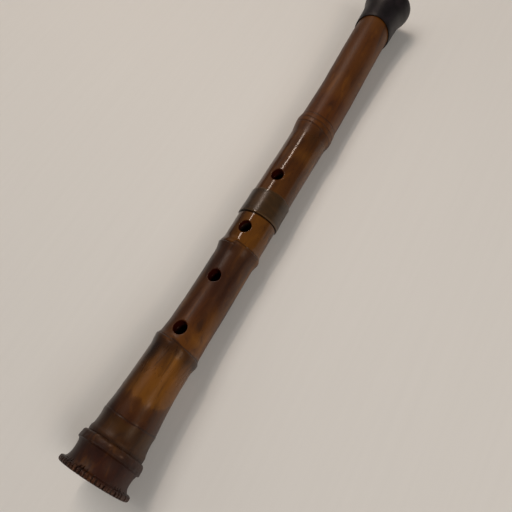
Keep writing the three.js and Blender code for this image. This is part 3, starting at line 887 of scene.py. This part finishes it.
# Colours of the cane from the root end to the mouth end, as a screen shows them, at stations
CANE_COLOURS = [
    (0, (54, 25, 11)), (16, (50, 19, 7)), (20, (44, 17, 8)), (27, (52, 25, 11)), (30, (64, 36, 12)),
    (44, (65, 38, 9)), (48, (62, 29, 5)), (59, (72, 37, 7)), (63, (80, 43, 8)), (67, (110, 66, 13)),
    (90, (112, 67, 17)), (99, (100, 59, 15)), (104, (84, 49, 13)), (109, (62, 34, 9)), (113, (62, 34, 9)),
    (115, (94, 52, 9)), (132, (82, 43, 9)), (148, (68, 33, 8)), (175, (57, 27, 9)), (200, (64, 34, 13)),
    (246, (72, 42, 13)),
]
PAST_LAST_NODE = (98, 57, 10)
UPPER_CANE_COLOURS = [
    (247, (90, 52, 12)), (281, (80, 44, 11)), (307, (76, 40, 8)), (319, (88, 50, 12)), (333, (74, 39, 6)),
    (343, (78, 43, 9)), (351, (72, 37, 6)), (360, (90, 48, 7)), (378, (84, 42, 6)), (391, (82, 41, 7)),
    (403, (92, 50, 9)), (429, (82, 43, 7)), (448, (86, 46, 9)), (478, (82, 43, 8)), (500, (86, 47, 8)),
]

# How rough the lacquer is at stations
CANE_ROUGHNESS = [
    (0, 0.42), (28, 0.44), (44, 0.3), (60, 0.28), (96, 0.22), (112, 0.24), (118, 0.34), (124, 0.34),
    (132, 0.3), (246, 0.3), (248, 0.1), (300, 0.1), (328, 0.11), (340, 0.14), (354, 0.34), (400, 0.4),
    (545, 0.38),
]

# Colours that are mixed in, as a screen shows them
GOLDEN = (156, 98, 24)
SCORCHED = (22, 11, 4)
PAINTED_SIDE_SHADE = (28, 12, 4)
GLINT_PALE = (150, 118, 98)
AMBER = (140, 84, 16)
SMOKED = (26, 12, 8)
STREAK_BROWN = (34, 17, 9)
FIBRE_BROWN = (24, 12, 7)
SPECK_BROWN = (24, 11, 7)
SCAR_AND_SHADOW_BROWN = (34, 16, 7)
GAP_SHADE = (18, 8, 4)
HOLE_RED = (54, 13, 4)
PORE_BROWN = (30, 15, 8)
PITH_BROWN = (104, 70, 38)
ROOT_BROWN = (52, 30, 16)
BAND_FLAMES = [(0.3, (45, 28, 8)), (0.5, (56, 36, 11)), (0.62, (64, 41, 14)), (0.8, (58, 33, 9))]
BAND_SIDE_SHADE = (24, 11, 4)
BAND_HAIR = (40, 26, 15)
BAND_EDGE_HIGHLIGHT = (124, 94, 62)
BAND_SEAM_SHADE = (18, 9, 5)
CAP_BLACK = (14, 9, 11)
CAP_RUBBED = (28, 21, 25)
CAP_RIM_SHADOW = (16, 5, 3)
SEAL_BLACK = (24, 24, 24)
SEAL_GREY = (44, 43, 42)

# What a mark of the cane mixes in: (mark, share, colour). The line mark holds the scars and the painted
# shadow lines at the ridge's feet, and the gap mark painted shade in the stubs' gaps and the joint's seam
MARK_TINTS = [("line", 0.7, SCAR_AND_SHADOW_BROWN), ("gap", 0.8, GAP_SHADE), ("wall", 1.0, HOLE_RED)]


def cane_ground(finish, share, colours, past_colour, shade, cloud):
    """The cane's browns at their stations, with golden and scorched patches, some of them painted light,
    painted shade on its +Y side, and pale painted glints.
    """
    ground = finish.ramp(share, [(station / CAP_END, colour) for station, colour in colours])
    if past_colour:
        ground = finish.tint(finish.mark("past"), ground, past_colour)
    tone = finish.part(finish.mark("tone"), finish.lifted(cloud, 1.4, 0.3))
    ground = finish.tint(finish.spread(tone, 0, 1), ground, GOLDEN)
    ground = finish.tint(finish.spread(tone, 0, -1), ground, SCORCHED)
    # Painted shade on the +Y side
    ground = finish.tint(finish.spread(finish.axes()[1], -0.004, 0.015, shade), ground, PAINTED_SIDE_SHADE)
    # Pale painted glints
    return finish.tint(finish.mark("worn", 0.4), ground, GLINT_PALE)


def cane_marbling(finish, ground, cloud, streaks, fibres):
    """Amber and smoked clouds, streaks and fibres along the cane, and specks."""
    amber = finish.mix(finish.spread(cloud, 0.52, 0.72), ground, srgb(*AMBER), "SCREEN")
    base = finish.mix(0.16, ground, amber)
    base = finish.mix(finish.spread(cloud, 0.5, 0.28), base, finish.tint(0.55, base, SMOKED))
    base = finish.tint(finish.spread(streaks, 0.5, 0.75, 0.28), base, STREAK_BROWN)
    base = finish.tint(finish.part(fibres, 0.22), base, FIBRE_BROWN)
    specks = finish.cells(210, 300, 5.0)
    return finish.tint(finish.spread(specks, 0.16, 0.08, 0.5), base, SPECK_BROWN)


def cane_ends(finish, cloud):
    """The cut face of the root: the ends of the fibres as pores in the pith."""
    pores = finish.cells(560, 560, 2.0)
    grown_ends = finish.tint(finish.spread(pores, 0.24, 0.5), srgb(*PORE_BROWN), PITH_BROWN)
    return finish.tint(finish.spread(cloud, 0.45, 0.62, 0.6), grown_ends, ROOT_BROWN)


def cane_finish(name, colours, past_colour, shade):
    """Lacquered bamboo: marbled, with dark scars, painted shadow lines at the root ridge's feet, painted
    shade in the stubs' gaps, at the seam and on its +Y side, painted glints, a dark red wash in the holes,
    and fibre ends on cut faces. Past the last node it may have a colour of its own, under a smoother lacquer."""
    finish = Finish(name, IOR=1.42, Specular_IOR_Level=0.5)
    drift = finish.noise(40, 90, Detail=3, Distortion=0.6)
    wander = finish.part(finish.math("SUBTRACT", drift, 0.5), 0.016)
    metres = finish.math("ADD", finish.math("ADD", finish.axes()[0], MIDDLE * MM), wander)
    share = finish.math("DIVIDE", metres, CAP_END * MM)
    cloud = finish.noise(28, 75, 3.0, Detail=5, Roughness=0.6, Distortion=1.2)
    streaks = finish.noise(9, 330, 7.0, Detail=3, Roughness=0.5)
    fibres = finish.noise(40, 1800, 1.0, Detail=2)
    ground = cane_ground(finish, share, colours, past_colour, shade, cloud)
    base = cane_marbling(finish, ground, cloud, streaks, fibres)
    # Scars and painted shadow lines, painted shade in gaps and at the seam, the red wash in the holes
    for mark, strength, colour in MARK_TINTS:
        base = finish.tint(finish.mark(mark, strength), base, colour)
    finish.colour(finish.mix(finish.mark("cut"), base, cane_ends(finish, cloud)))
    rough = finish.ramp(share, [(station / CAP_END, value) for station, value in CANE_ROUGHNESS])
    if past_colour:
        rough = finish.part(rough, finish.lifted(finish.mark("past"), -0.7, 1.0))
    finish.rough(finish.math("ADD", rough, finish.part(cloud, 0.1)))
    finish.bump(finish.math("ADD", finish.part(fibres, 0.5), finish.part(streaks, 0.5)), 0.00012, 0.35)
    return finish.material


def lacquer_finish(name, deep, pale, roughness):
    """Brushed lacquer: two near tones in soft clouds, with fine brush marks along the flute."""
    finish = Finish(name, IOR=1.5, Coat_Weight=0.5, Coat_Roughness=0.1)
    cloud = finish.noise(60, 120, Detail=4, Distortion=0.5)
    brush = finish.noise(30, 1500, 4.0, Detail=2)
    tone = finish.math("ADD", finish.part(cloud, 0.7), finish.part(brush, 0.3))
    finish.colour(finish.tint(finish.spread(tone, 0.3, 0.7), srgb(*deep), pale))
    finish.rough(finish.lifted(brush, 0.16, roughness))
    finish.bump(brush, 0.00008, 0.4)
    return finish.material


def band_finish():
    """Polished horn: olive brown with paler flames round the band, a painted highlight along its edges, and
    painted shade on its +Y side and on its face at the joint.
    """
    finish = Finish("band_horn", IOR=1.5, Specular_IOR_Level=0.5)
    flames = finish.noise(80, 45, Detail=4, Roughness=0.5, Distortion=1.0)
    hairs = finish.noise(900, 90, 2.0, Detail=2)
    base = finish.ramp(flames, BAND_FLAMES)
    # Painted shade on the band's +Y side
    base = finish.tint(finish.spread(finish.axes()[1], -0.002, 0.015, 0.65), base, BAND_SIDE_SHADE)
    base = finish.tint(finish.part(hairs, 0.25), base, BAND_HAIR)
    # Painted highlight along the band's edges
    base = finish.tint(finish.mark("line", 0.35), base, BAND_EDGE_HIGHLIGHT)
    # Painted shade on the band's face at the joint
    finish.colour(finish.tint(finish.mark("gap", 0.85), base, BAND_SEAM_SHADE))
    dull = finish.part(finish.lifted(finish.mark("gloss"), -0.85, 1.0), 0.26)
    finish.rough(finish.math("ADD", dull, finish.part(flames, 0.1)))
    finish.bump(hairs, 0.0001, 0.4)
    return finish.material


def cap_finish():
    """Black moulded cap: a hair of purple in the black, with a fine grain, rubbed places and a painted shadow
    round the lip of its rim.
    """
    finish = Finish("cap_black", IOR=1.5, Specular_IOR_Level=0.4)
    grain = finish.noise(2600, 2600, Detail=2)
    rubbed = finish.noise(90, 90, 3.0, Detail=4, Distortion=0.8)
    black = finish.tint(finish.spread(rubbed, 0.35, 0.75), srgb(*CAP_BLACK), CAP_RUBBED)
    # Painted shadow round the lip of the rim
    finish.colour(finish.tint(finish.mark("line"), black, CAP_RIM_SHADOW))
    finish.rough(finish.lifted(rubbed, 0.22, 0.34))
    finish.bump(grain, 0.00005, 0.35)
    return finish.material


def rubber_finish():
    finish = Finish("seal_rubber", IOR=1.5)
    grain = finish.noise(1800, 1800, Detail=3)
    finish.colour(finish.tint(grain, srgb(*SEAL_BLACK), SEAL_GREY))
    finish.rough(finish.lifted(grain, 0.2, 0.6))
    finish.bump(grain, 0.00006, 0.5)
    return finish.material


# Pieces of the flute


def scar_places(nodes):
    return [node.at + past for node in nodes for past, step, groove in node.lines]


def lower_section(material):
    blocks = [Block(hole, CANE_PATCH) for hole in (HOLE_1, HOLE_2, HOLE_3)]
    rim_edge = RIM_FINE_RADIUS - RIM_ROUND
    bore_edge = (0.0, LOWER_CANE_BORE)
    face = [bore_edge] + straight(bore_edge, (0.0, rim_edge - RIM_FACE), steps=8)
    rim = [(0.0, rim_edge - inset) for inset in RIM_FACE_ROWS]
    rim += quarter(rim[-1], (RIM_ROUND, RIM_FINE_RADIUS), True)
    rim += straight(rim[-1], (RIM_LENGTH - RIM_ROUND, RIM_FINE_RADIUS), steps=3)
    rim += quarter(rim[-1], (RIM_LENGTH, rim_edge), False)
    rim += quarter((RIM_LENGTH, rim_edge - COVE_DROP), WAIST, True, steps=14)
    ridge_end = RIDGE_AT + RIDGE_LENGTH
    back = quarter(WAIST, (RIDGE_AT, RIDGE_RADIUS - RIDGE_ROUND), False, steps=9)
    back += quarter(back[-1], (RIDGE_AT + RIDGE_ROUND, RIDGE_RADIUS), True)
    crown = straight((RIDGE_AT + RIDGE_ROUND, 0.0), (ridge_end - RIDGE_FALL, 1.0), steps=CROWN_STEPS)
    back += [(station, RIDGE_RADIUS - CROWN_DROP * share**2) for station, share in crown]
    back += quarter(back[-1], (ridge_end, LEDGE[1]), False, steps=8)
    back += straight(back[-1], LEDGE, steps=5)

    def body_radius(station):
        swelling = cane_radius(station) - smooth_along(LOWER_TAPER, station)
        return smooth_along([LEDGE] + LOWER_TAPER, station) + swelling

    fine_places = scar_places(LOWER_NODES) + [LOWER_END]
    body = wall_points(LEDGE[0] + FIRST_STEP, LOWER_END, body_radius, blocks, TUBE_STEP, fine_places)
    pocket = wall_points(POCKET_AT, LOWER_END, TENON_RADIUS + FIT_GAP, blocks)
    bore = wall_points(FIRST_STEP, POCKET_AT, LOWER_CANE_BORE, blocks)
    profile = inside_rows(face, cut=1.0) + outside_rows(rim[:2], RIM_COLUMNS, cut=1.0)
    profile += outside_rows(rim[2:], RIM_COLUMNS) + outside_rows(back + body)
    profile += inside_rows(pocket[::-1] + bore[::-1], wall=1.0)
    dress = grown(LOWER_NODES, LOWER_PATCHES)
    tube("lower_cane", "lower_section", "lower", material, profile, blocks, dress)


def upper_section(material):
    blocks = [Block(hole, CANE_PATCH) for hole in (HOLE_4, THUMB_HOLE)]
    under_band = BAND_INNER - FIT_GAP
    seat = BAND_END + FIT_GAP / 2
    seated = [(UPPER_AT, under_band)] + straight((UPPER_AT, under_band), (seat, under_band), steps=8)
    body = wall_points(seat, MOUTH_AT, cane_radius, blocks, TUBE_STEP, scar_places(UPPER_NODES))
    socket = wall_points(UPPER_AT, SOCKET_END, SLEEVE_OUTER + FIT_GAP)
    bore = wall_points(SOCKET_END, MOUTH_AT, UPPER_CANE_BORE, blocks)
    profile = inside_rows(seated) + outside_rows(body) + inside_rows(bore[::-1] + socket[::-1], wall=1.0)
    dress = grown(UPPER_NODES, UPPER_PATCHES)
    piece = tube("upper_cane", "upper_section", "upper", material, profile, blocks, dress)
    carve(piece, [bevel_block(), inlay_block(GLUE_GAP)])


def lining(name, node, body, start, end, cane_bore, holes, material):
    blocks = [Block(hole, LINING_PATCH) for hole in holes]
    outer = wall_points(start, end, cane_bore - GLUE_GAP, blocks)
    inner = wall_points(start, end, bore_radius, blocks)
    profile = outside_rows(outer) + inside_rows(inner[::-1])
    return tube(name, node, body, material, profile, blocks)


def joint_tenon(material):
    start = POCKET_AT + FIT_GAP
    end = SOCKET_END - FIT_GAP
    groove_radius = SEAL_CENTRE - SEAL_SECTION - FIT_GAP
    groove_half = SEAL_SECTION + FIT_GAP
    block = Block(HOLE_3, TENON_PATCH)
    outline = wall_points(start, JOINT_AT + 1, TENON_RADIUS, [block])
    for share in SEAL_SHARES:
        place = JOINT_AT + SOCKET_DEPTH * share
        low, high = place - groove_half, place + groove_half
        outline += [(low - GROOVE_EDGE, TENON_RADIUS), (low, TENON_RADIUS - GROOVE_EDGE)]
        outline += [(low, groove_radius), (high, groove_radius)]
        outline += [(high, TENON_RADIUS - GROOVE_EDGE), (high + GROOVE_EDGE, TENON_RADIUS)]
    outline += quarter((end - TENON_LEAD, TENON_RADIUS), (end, TENON_RADIUS - TENON_LEAD), False)
    inner = wall_points(start, end, JOINT_BORE, [block])
    profile = outside_rows(outline) + inside_rows(inner[::-1])
    tube("tenon_body", "joint_tenon", "lower", material, profile, [block], rise=0)


def seal_ring(number, share, material):
    place = JOINT_AT + SOCKET_DEPTH * share
    outline = []
    for corner in range(SEAL_CORNERS):
        angle = corner * 2 * math.pi / SEAL_CORNERS
        section = SEAL_SECTION + SEAL_LIP * bell(math.sin(angle), SEAL_LIP_WIDTH) * (math.cos(angle) < 0)
        outline.append((place - section * math.sin(angle), SEAL_CENTRE - section * math.cos(angle)))
    node = f"tenon_seal_ring_{number}"
    tube(f"seal_{number}", node, "seals", material, outside_rows(outline), rise=0)


def socket_sleeve(material):
    end = UPPER_AT + SOCKET_DEPTH - FIT_GAP / 2 - FIT_GAP
    front = UPPER_AT + SLEEVE_INSET
    outer = wall_points(front, end, SLEEVE_OUTER)
    inner = wall_points(UPPER_AT + TENON_LEAD, end, SLEEVE_INNER)
    lead = quarter((UPPER_AT + TENON_LEAD, SLEEVE_INNER), (front, SLEEVE_INNER + TENON_LEAD), False)
    profile = outside_rows(outer) + inside_rows(inner[::-1] + lead)
    tube("sleeve", "joint_socket_sleeve", "upper", material, profile, rise=0)


def joint_band(material):
    length = BAND_LENGTH - FIT_GAP
    end = UPPER_AT + length
    face = [(UPPER_AT, BAND_INNER), (UPPER_AT, BAND_LIP_RADIUS - BAND_LIP)]
    outline = quarter(face[-1], (UPPER_AT + BAND_LIP, BAND_LIP_RADIUS), True)
    outline += straight(outline[-1], (UPPER_AT + BAND_TURN, BAND_RADIUS), steps=8)
    outline += straight(outline[-1], (end - BAND_LIP, BAND_RADIUS), steps=8)
    outline += quarter(outline[-1], (end, BAND_RADIUS - BAND_LIP), False)

    def dress(station, radius, angle):
        across = Vector((station, radius * math.sin(angle), radius * math.cos(angle)))
        # Painted highlights along both edges, stronger or weaker toward +Y
        worn = 0.0
        for inside, (inset, reach, strength, change) in zip((station - UPPER_AT, end - station), BAND_EDGE_GLINTS):
            worn += bell(inside - inset, reach) * (strength + change * math.sin(angle))
        rubbed = max(bell(station - lip, RUBBED_LENGTH) for lip in (UPPER_AT + 0.9, end - 0.8))
        marks = {"line": worn, "gloss": rubbed * bell(angle - UP, RUBBED_TURN)}
        place = station + waves(BAND_WAVES, angle, 1) * ((station - UPPER_AT) / length) ** 6
        return place, radius + BAND_WANDER * noise.noise(across / BAND_WANDER_SIZE), marks

    # The band's face at the joint takes painted shade
    profile = outside_rows(face, gap=1.0) + outside_rows(outline + [(end, BAND_INNER)])
    tube("band", "joint_band", "upper", material, profile, dress=dress, rise=0)


def mouth_cap(material):
    inner = cane_radius(MOUTH_AT) + FIT_GAP
    length = CAP_FLARE_AT - CAP_RIM_AT
    flare = CAP_FLARE_RADIUS - CAP_RIM_RADIUS
    side = [(CAP_RIM_AT + length * along, CAP_RIM_RADIUS + flare * out) for along, out in CAP_SIDE_SHARES]
    stations = [CAP_RIM_AT + length * step / CAP_ROWS for step in range(CAP_ROWS + 1)]
    outer = [(station, smooth_along(side, station)) for station in stations]
    grip_end = (CAP_RIM_AT + CAP_GRIP_LENGTH, inner)
    hollow = [(s, max(inner, r - CAP_WALL)) for s, r in outer if s > grip_end[0]]
    floor = MOUTH_AT + FIT_GAP
    rim_start = CAP_RIM_AT + CAP_EDGE
    points = [(floor, hollow[-1][1] * share) for share in CAP_FLOOR_SHARES] + hollow[::-1]
    points += [grip_end] + straight(grip_end, (rim_start, inner), steps=8)
    points += [(CAP_RIM_AT, inner + CAP_EDGE * 0.6), (CAP_RIM_AT, CAP_RIM_RADIUS - CAP_EDGE)]
    points += quarter(points[-1], (rim_start, CAP_RIM_RADIUS), True)
    points += [point for point in outer if point[0] > rim_start + 0.3]
    points += [(CAP_END - CAP_END_ROUND, CAP_FLARE_RADIUS)]
    points += quarter(points[-1], (CAP_END, CAP_FLARE_RADIUS - CAP_END_ROUND), False, steps=10)
    points += [(CAP_END, (CAP_FLARE_RADIUS - CAP_END_ROUND) * share) for share in CAP_END_SHARES]

    def dress(station, radius, angle):
        fade = ease(1, 0, (station - CAP_RIM_AT) / CAP_SLANT_FADE)
        # Painted shadow round the lip of the rim, in the line mark
        lip = ease(1, 0, (station - CAP_RIM_AT - CAP_LIP_SHADOW) / CAP_LIP_SHADOW_FADE)
        return station - CAP_RIM_SLANT * fade * math.cos(angle), radius, {"line": lip}

    centres = [[(at, 0.0, 1, False, {})] for at in (floor, CAP_END)]
    profile = centres[0] + outside_rows(points) + centres[1]
    tube("cap", "mouth_cap", "cap", material, profile, dress=dress, rise=MOUTH_RISE)


# The blowing edge is cut by blocks, so these are made, used and removed


def prism(name, outline, depth, on_side):
    """A solid at the mouth, from an outline of (station, height) points and a depth across the flute where
    it is drawn on its side, and otherwise from (station, across) points and a depth in height."""
    count = len(outline)
    points = []
    for side in depth:
        for station, other in outline:
            across, height = (side, other) if on_side else (other, side)
            points.append(Vector((station - MIDDLE, across, REST_HEIGHT + MOUTH_RISE + height)) * MM)
    faces = [list(reversed(range(count))), list(range(count, count * 2))]
    for k in range(count):
        after = (k + 1) % count
        faces.append([k, after, count + after, count + k])
    block = add_object(name, points, faces)
    block.data.validate()
    return block


def bevel_block():
    """The space over the slanted cut of the blowing edge."""
    radius = cane_radius(MOUTH_AT)
    blade = MOUTH_BORE + BLADE
    slope = (radius - blade) / BEVEL_LENGTH
    top = radius + OVERRUN * 2
    front, back = MOUTH_AT + OVERRUN, MOUTH_AT - BEVEL_LENGTH - OVERRUN
    outline = [(front, blade - OVERRUN * slope), (front, top), (back, top), (back, radius + OVERRUN * slope)]
    return prism("bevel_block", outline, (-radius - OVERRUN, radius + OVERRUN), True)


def inlay_block(clearance):
    """The wedge of the inlay seen from above, grown by a clearance for the pocket that it sits in."""
    spread = (INLAY_EDGE_WIDTH - INLAY_BACK_WIDTH) / 2 / INLAY_LENGTH
    sides = []
    for station in (MOUTH_AT - INLAY_LENGTH - clearance, MOUTH_AT + (OVERRUN if clearance else 0)):
        half = INLAY_EDGE_WIDTH / 2 + spread * (station - MOUTH_AT) + clearance * math.hypot(1, spread)
        sides.append((station, half))
    outline = [(station, -half) for station, half in sides] + sides[::-1]
    return prism("inlay_block", outline, (0.0, cane_radius(MOUTH_AT) + OVERRUN), False)


def bore_block():
    """The bore at the mouth as a plug."""
    shell = Shell()
    rings = []
    for station in (MOUTH_AT - INLAY_LENGTH - OVERRUN, MOUTH_AT + OVERRUN):
        turns = [column * COLUMN_TURN for column in range(COLUMNS)]
        ring = [row_point(station, bore_radius(station), turn, MOUTH_RISE) for turn in turns]
        rings.append([shell.add(point, {}) for point in ring])
    shell.band(rings[0], rings[1])
    return add_object("bore_block", shell.points, shell.faces + [rings[0][::-1], rings[1]])


def carve(piece, cutters):
    """Cut blocks out of a piece, and remove the blocks."""
    for cutter in cutters:
        modifier = piece.modifiers.new("cut", "BOOLEAN")
        modifier.operation = "DIFFERENCE"
        modifier.solver = "EXACT"
        modifier.object = cutter
    evaluated = piece.evaluated_get(bpy.context.evaluated_depsgraph_get())
    mesh = bpy.data.meshes.new_from_object(evaluated)
    piece.modifiers.clear()
    piece.data = mesh
    mesh.set_sharp_from_angle(angle=SHARP_ANGLE)
    for cutter in cutters:
        bpy.data.objects.remove(cutter, do_unlink=True)


def mouthpiece_inlay(material):
    block = inlay_block(0.0)
    block.name = "edge_inlay"
    carve(block, [bore_block(), bevel_block()])
    settle(block, "mouthpiece_inlay", "upper", material)


def build_flute():
    lower_cane = cane_finish("lower_bamboo", CANE_COLOURS, PAST_LAST_NODE, 0.62)
    upper_cane = cane_finish("upper_bamboo", UPPER_CANE_COLOURS, None, 0.26)
    red = lacquer_finish("bore_red", (44, 10, 6), (66, 18, 10), 0.14)
    dark = lacquer_finish("tenon_dark", (34, 22, 16), (52, 35, 24), 0.26)
    black = lacquer_finish("sleeve_dark", (24, 19, 17), (38, 31, 27), 0.3)
    horn = lacquer_finish("inlay_horn", (18, 15, 13), (40, 33, 28), 0.12)
    rubber = rubber_finish()
    lower_section(lower_cane)
    upper_section(upper_cane)
    lower_holes = (HOLE_1, HOLE_2)
    lining("root_lining", "lower_bore_lining", "lower", 0.0, POCKET_AT, LOWER_CANE_BORE, lower_holes, red)
    upper_holes = (HOLE_4, THUMB_HOLE)
    mouth_lining = lining(
        "mouth_lining", "upper_bore_lining", "upper", SOCKET_END, MOUTH_AT, UPPER_CANE_BORE, upper_holes, red
    )
    carve(mouth_lining, [bevel_block(), inlay_block(GLUE_GAP)])
    joint_tenon(dark)
    for number, share in enumerate(SEAL_SHARES, 1):
        seal_ring(number, share, rubber)
    socket_sleeve(black)
    joint_band(band_finish())
    mouthpiece_inlay(horn)
    mouth_cap(cap_finish())


# Floor, light and camera
LEAN = math.radians(24.5)
TURN = math.radians(19.838)
VIEW_OFFSET = 17.3
VIEW_DEPTH = 522.34
TILT = math.atan(VIEW_OFFSET / VIEW_DEPTH)
IMAGE_ALONG = 0.851
IMAGE_ACROSS = 0.525
CAMERA_DISTANCE = 0.43607
CAMERA_STATION = 61.06
CAMERA_LEVEL = 23.682
LENS = 36.727
SENSOR = 36.0


def build_camera():
    """The camera, from the flute's lean away from it, its turn in the view and its tilt."""
    along = Vector((1, 0, 0))
    down = Vector((0, math.sin(LEAN), -math.cos(LEAN)))
    across = Vector((0, -math.cos(LEAN), -math.sin(LEAN)))
    shown = math.cos(TURN) * along - math.sin(TURN) * down
    deep = math.sin(TURN) * along + math.cos(TURN) * down
    forward = math.cos(TILT) * deep + math.sin(TILT) * across
    side = math.cos(TILT) * across - math.sin(TILT) * deep
    right = IMAGE_ACROSS * shown + IMAGE_ALONG * side
    up = IMAGE_ALONG * shown - IMAGE_ACROSS * side
    matrix = Matrix((right, up, -forward)).transposed().to_4x4()
    foot = Vector((CAMERA_STATION - MIDDLE, 0, CAMERA_LEVEL)) * MM
    matrix.translation = foot - down * CAMERA_DISTANCE
    data = bpy.data.cameras.new("camera")
    data.lens = LENS
    data.sensor_width = SENSOR
    data.clip_start = 0.01
    camera = bpy.data.objects.new("camera", data)
    camera.matrix_world = matrix
    bpy.context.scene.collection.objects.link(camera)
    bpy.context.scene.camera = camera


FLOOR_HALF = 6.0
FLOOR_DROP = 0.0002
FLOOR_COLOUR = (0.72, 0.695, 0.655, 1)
FLOOR_GRAIN = (0.75, 0.725, 0.685, 1)


def build_floor():
    corners = [(-1, -1), (1, -1), (1, 1), (-1, 1)]
    points = [(x * FLOOR_HALF, y * FLOOR_HALF, -FLOOR_DROP) for x, y in corners]
    floor = add_object("floor", points, [(0, 1, 2, 3)])
    finish = Finish("floor_pale", IOR=1.45, Specular_IOR_Level=0.3)
    grain = finish.noise(6, 160, Detail=3)
    finish.colour(finish.mix(grain, FLOOR_COLOUR, FLOOR_GRAIN))
    finish.rough(finish.lifted(grain, 0.1, 0.4))
    floor.data.materials.append(finish.material)


WARM = (1.0, 0.97, 0.93)
COOL = (0.97, 0.985, 1.0)
ROOM_COLOUR = (1.0, 0.985, 0.96, 1)
ROOM_LIGHT = 0.12
AIM_HEIGHT = 0.03

# Lamps: (name, degrees from straight over the flute toward +Y, distance, place along the flute, size along
# and across, brightness of its face, colour, whether it shows in the gloss)
LAMPS = [
    ("key", 24, 1.8, 0.3, (1.1, 0.9), 3.7, WARM, False),
    ("side", 62, 1.8, -0.5, (1.2, 0.9), 0.7, WARM, False),
    ("fill", -48, 1.8, -0.6, (1.2, 1.0), 3.2, COOL, False),
    ("streak", 21, 1.6, 0.86, (0.76, 0.06), 36, (1, 0.82, 0.7), True),
    ("halo", 49, 1.6, 1.0, (0.6, 1.1), 0.42, (1, 0.62, 0.42), True),
    ("sheen", -46, 1.6, -0.28, (0.68, 0.16), 5.4, (1, 0.72, 0.5), True),
]


def lamp(name, turn, distance, along, size, radiance, colour, mirrored):
    """A soft rectangular lamp that faces the flute's middle, with its length along the flute. Its power
    follows from how bright its face is."""
    angle = math.radians(turn)
    place = Vector((along, distance * math.sin(angle), distance * math.cos(angle)))
    away = (place - Vector((0, 0, AIM_HEIGHT))).normalized()
    length = (Vector((1, 0, 0)) - away * away.x).normalized()
    data = bpy.data.lights.new(name, "AREA")
    data.shape = "RECTANGLE"
    data.size, data.size_y = size
    data.energy = radiance * math.pi * size[0] * size[1]
    data.color = colour
    made = bpy.data.objects.new(name, data)
    made.matrix_world = Matrix((length, away.cross(length), away)).transposed().to_4x4()
    made.location = place
    made.visible_glossy = mirrored
    bpy.context.scene.collection.objects.link(made)


def build_light():
    for settings in LAMPS:
        lamp(*settings)
    world = bpy.data.worlds.new("room")
    world.use_nodes = True
    tree = world.node_tree
    background = tree.nodes["Background"]
    background.inputs["Color"].default_value = ROOM_COLOUR
    background.inputs["Strength"].default_value = ROOM_LIGHT
    bpy.context.scene.world = world


build_camera()
build_flute()
build_floor()
build_light()
bpy.context.scene.view_settings.view_transform = "Standard"
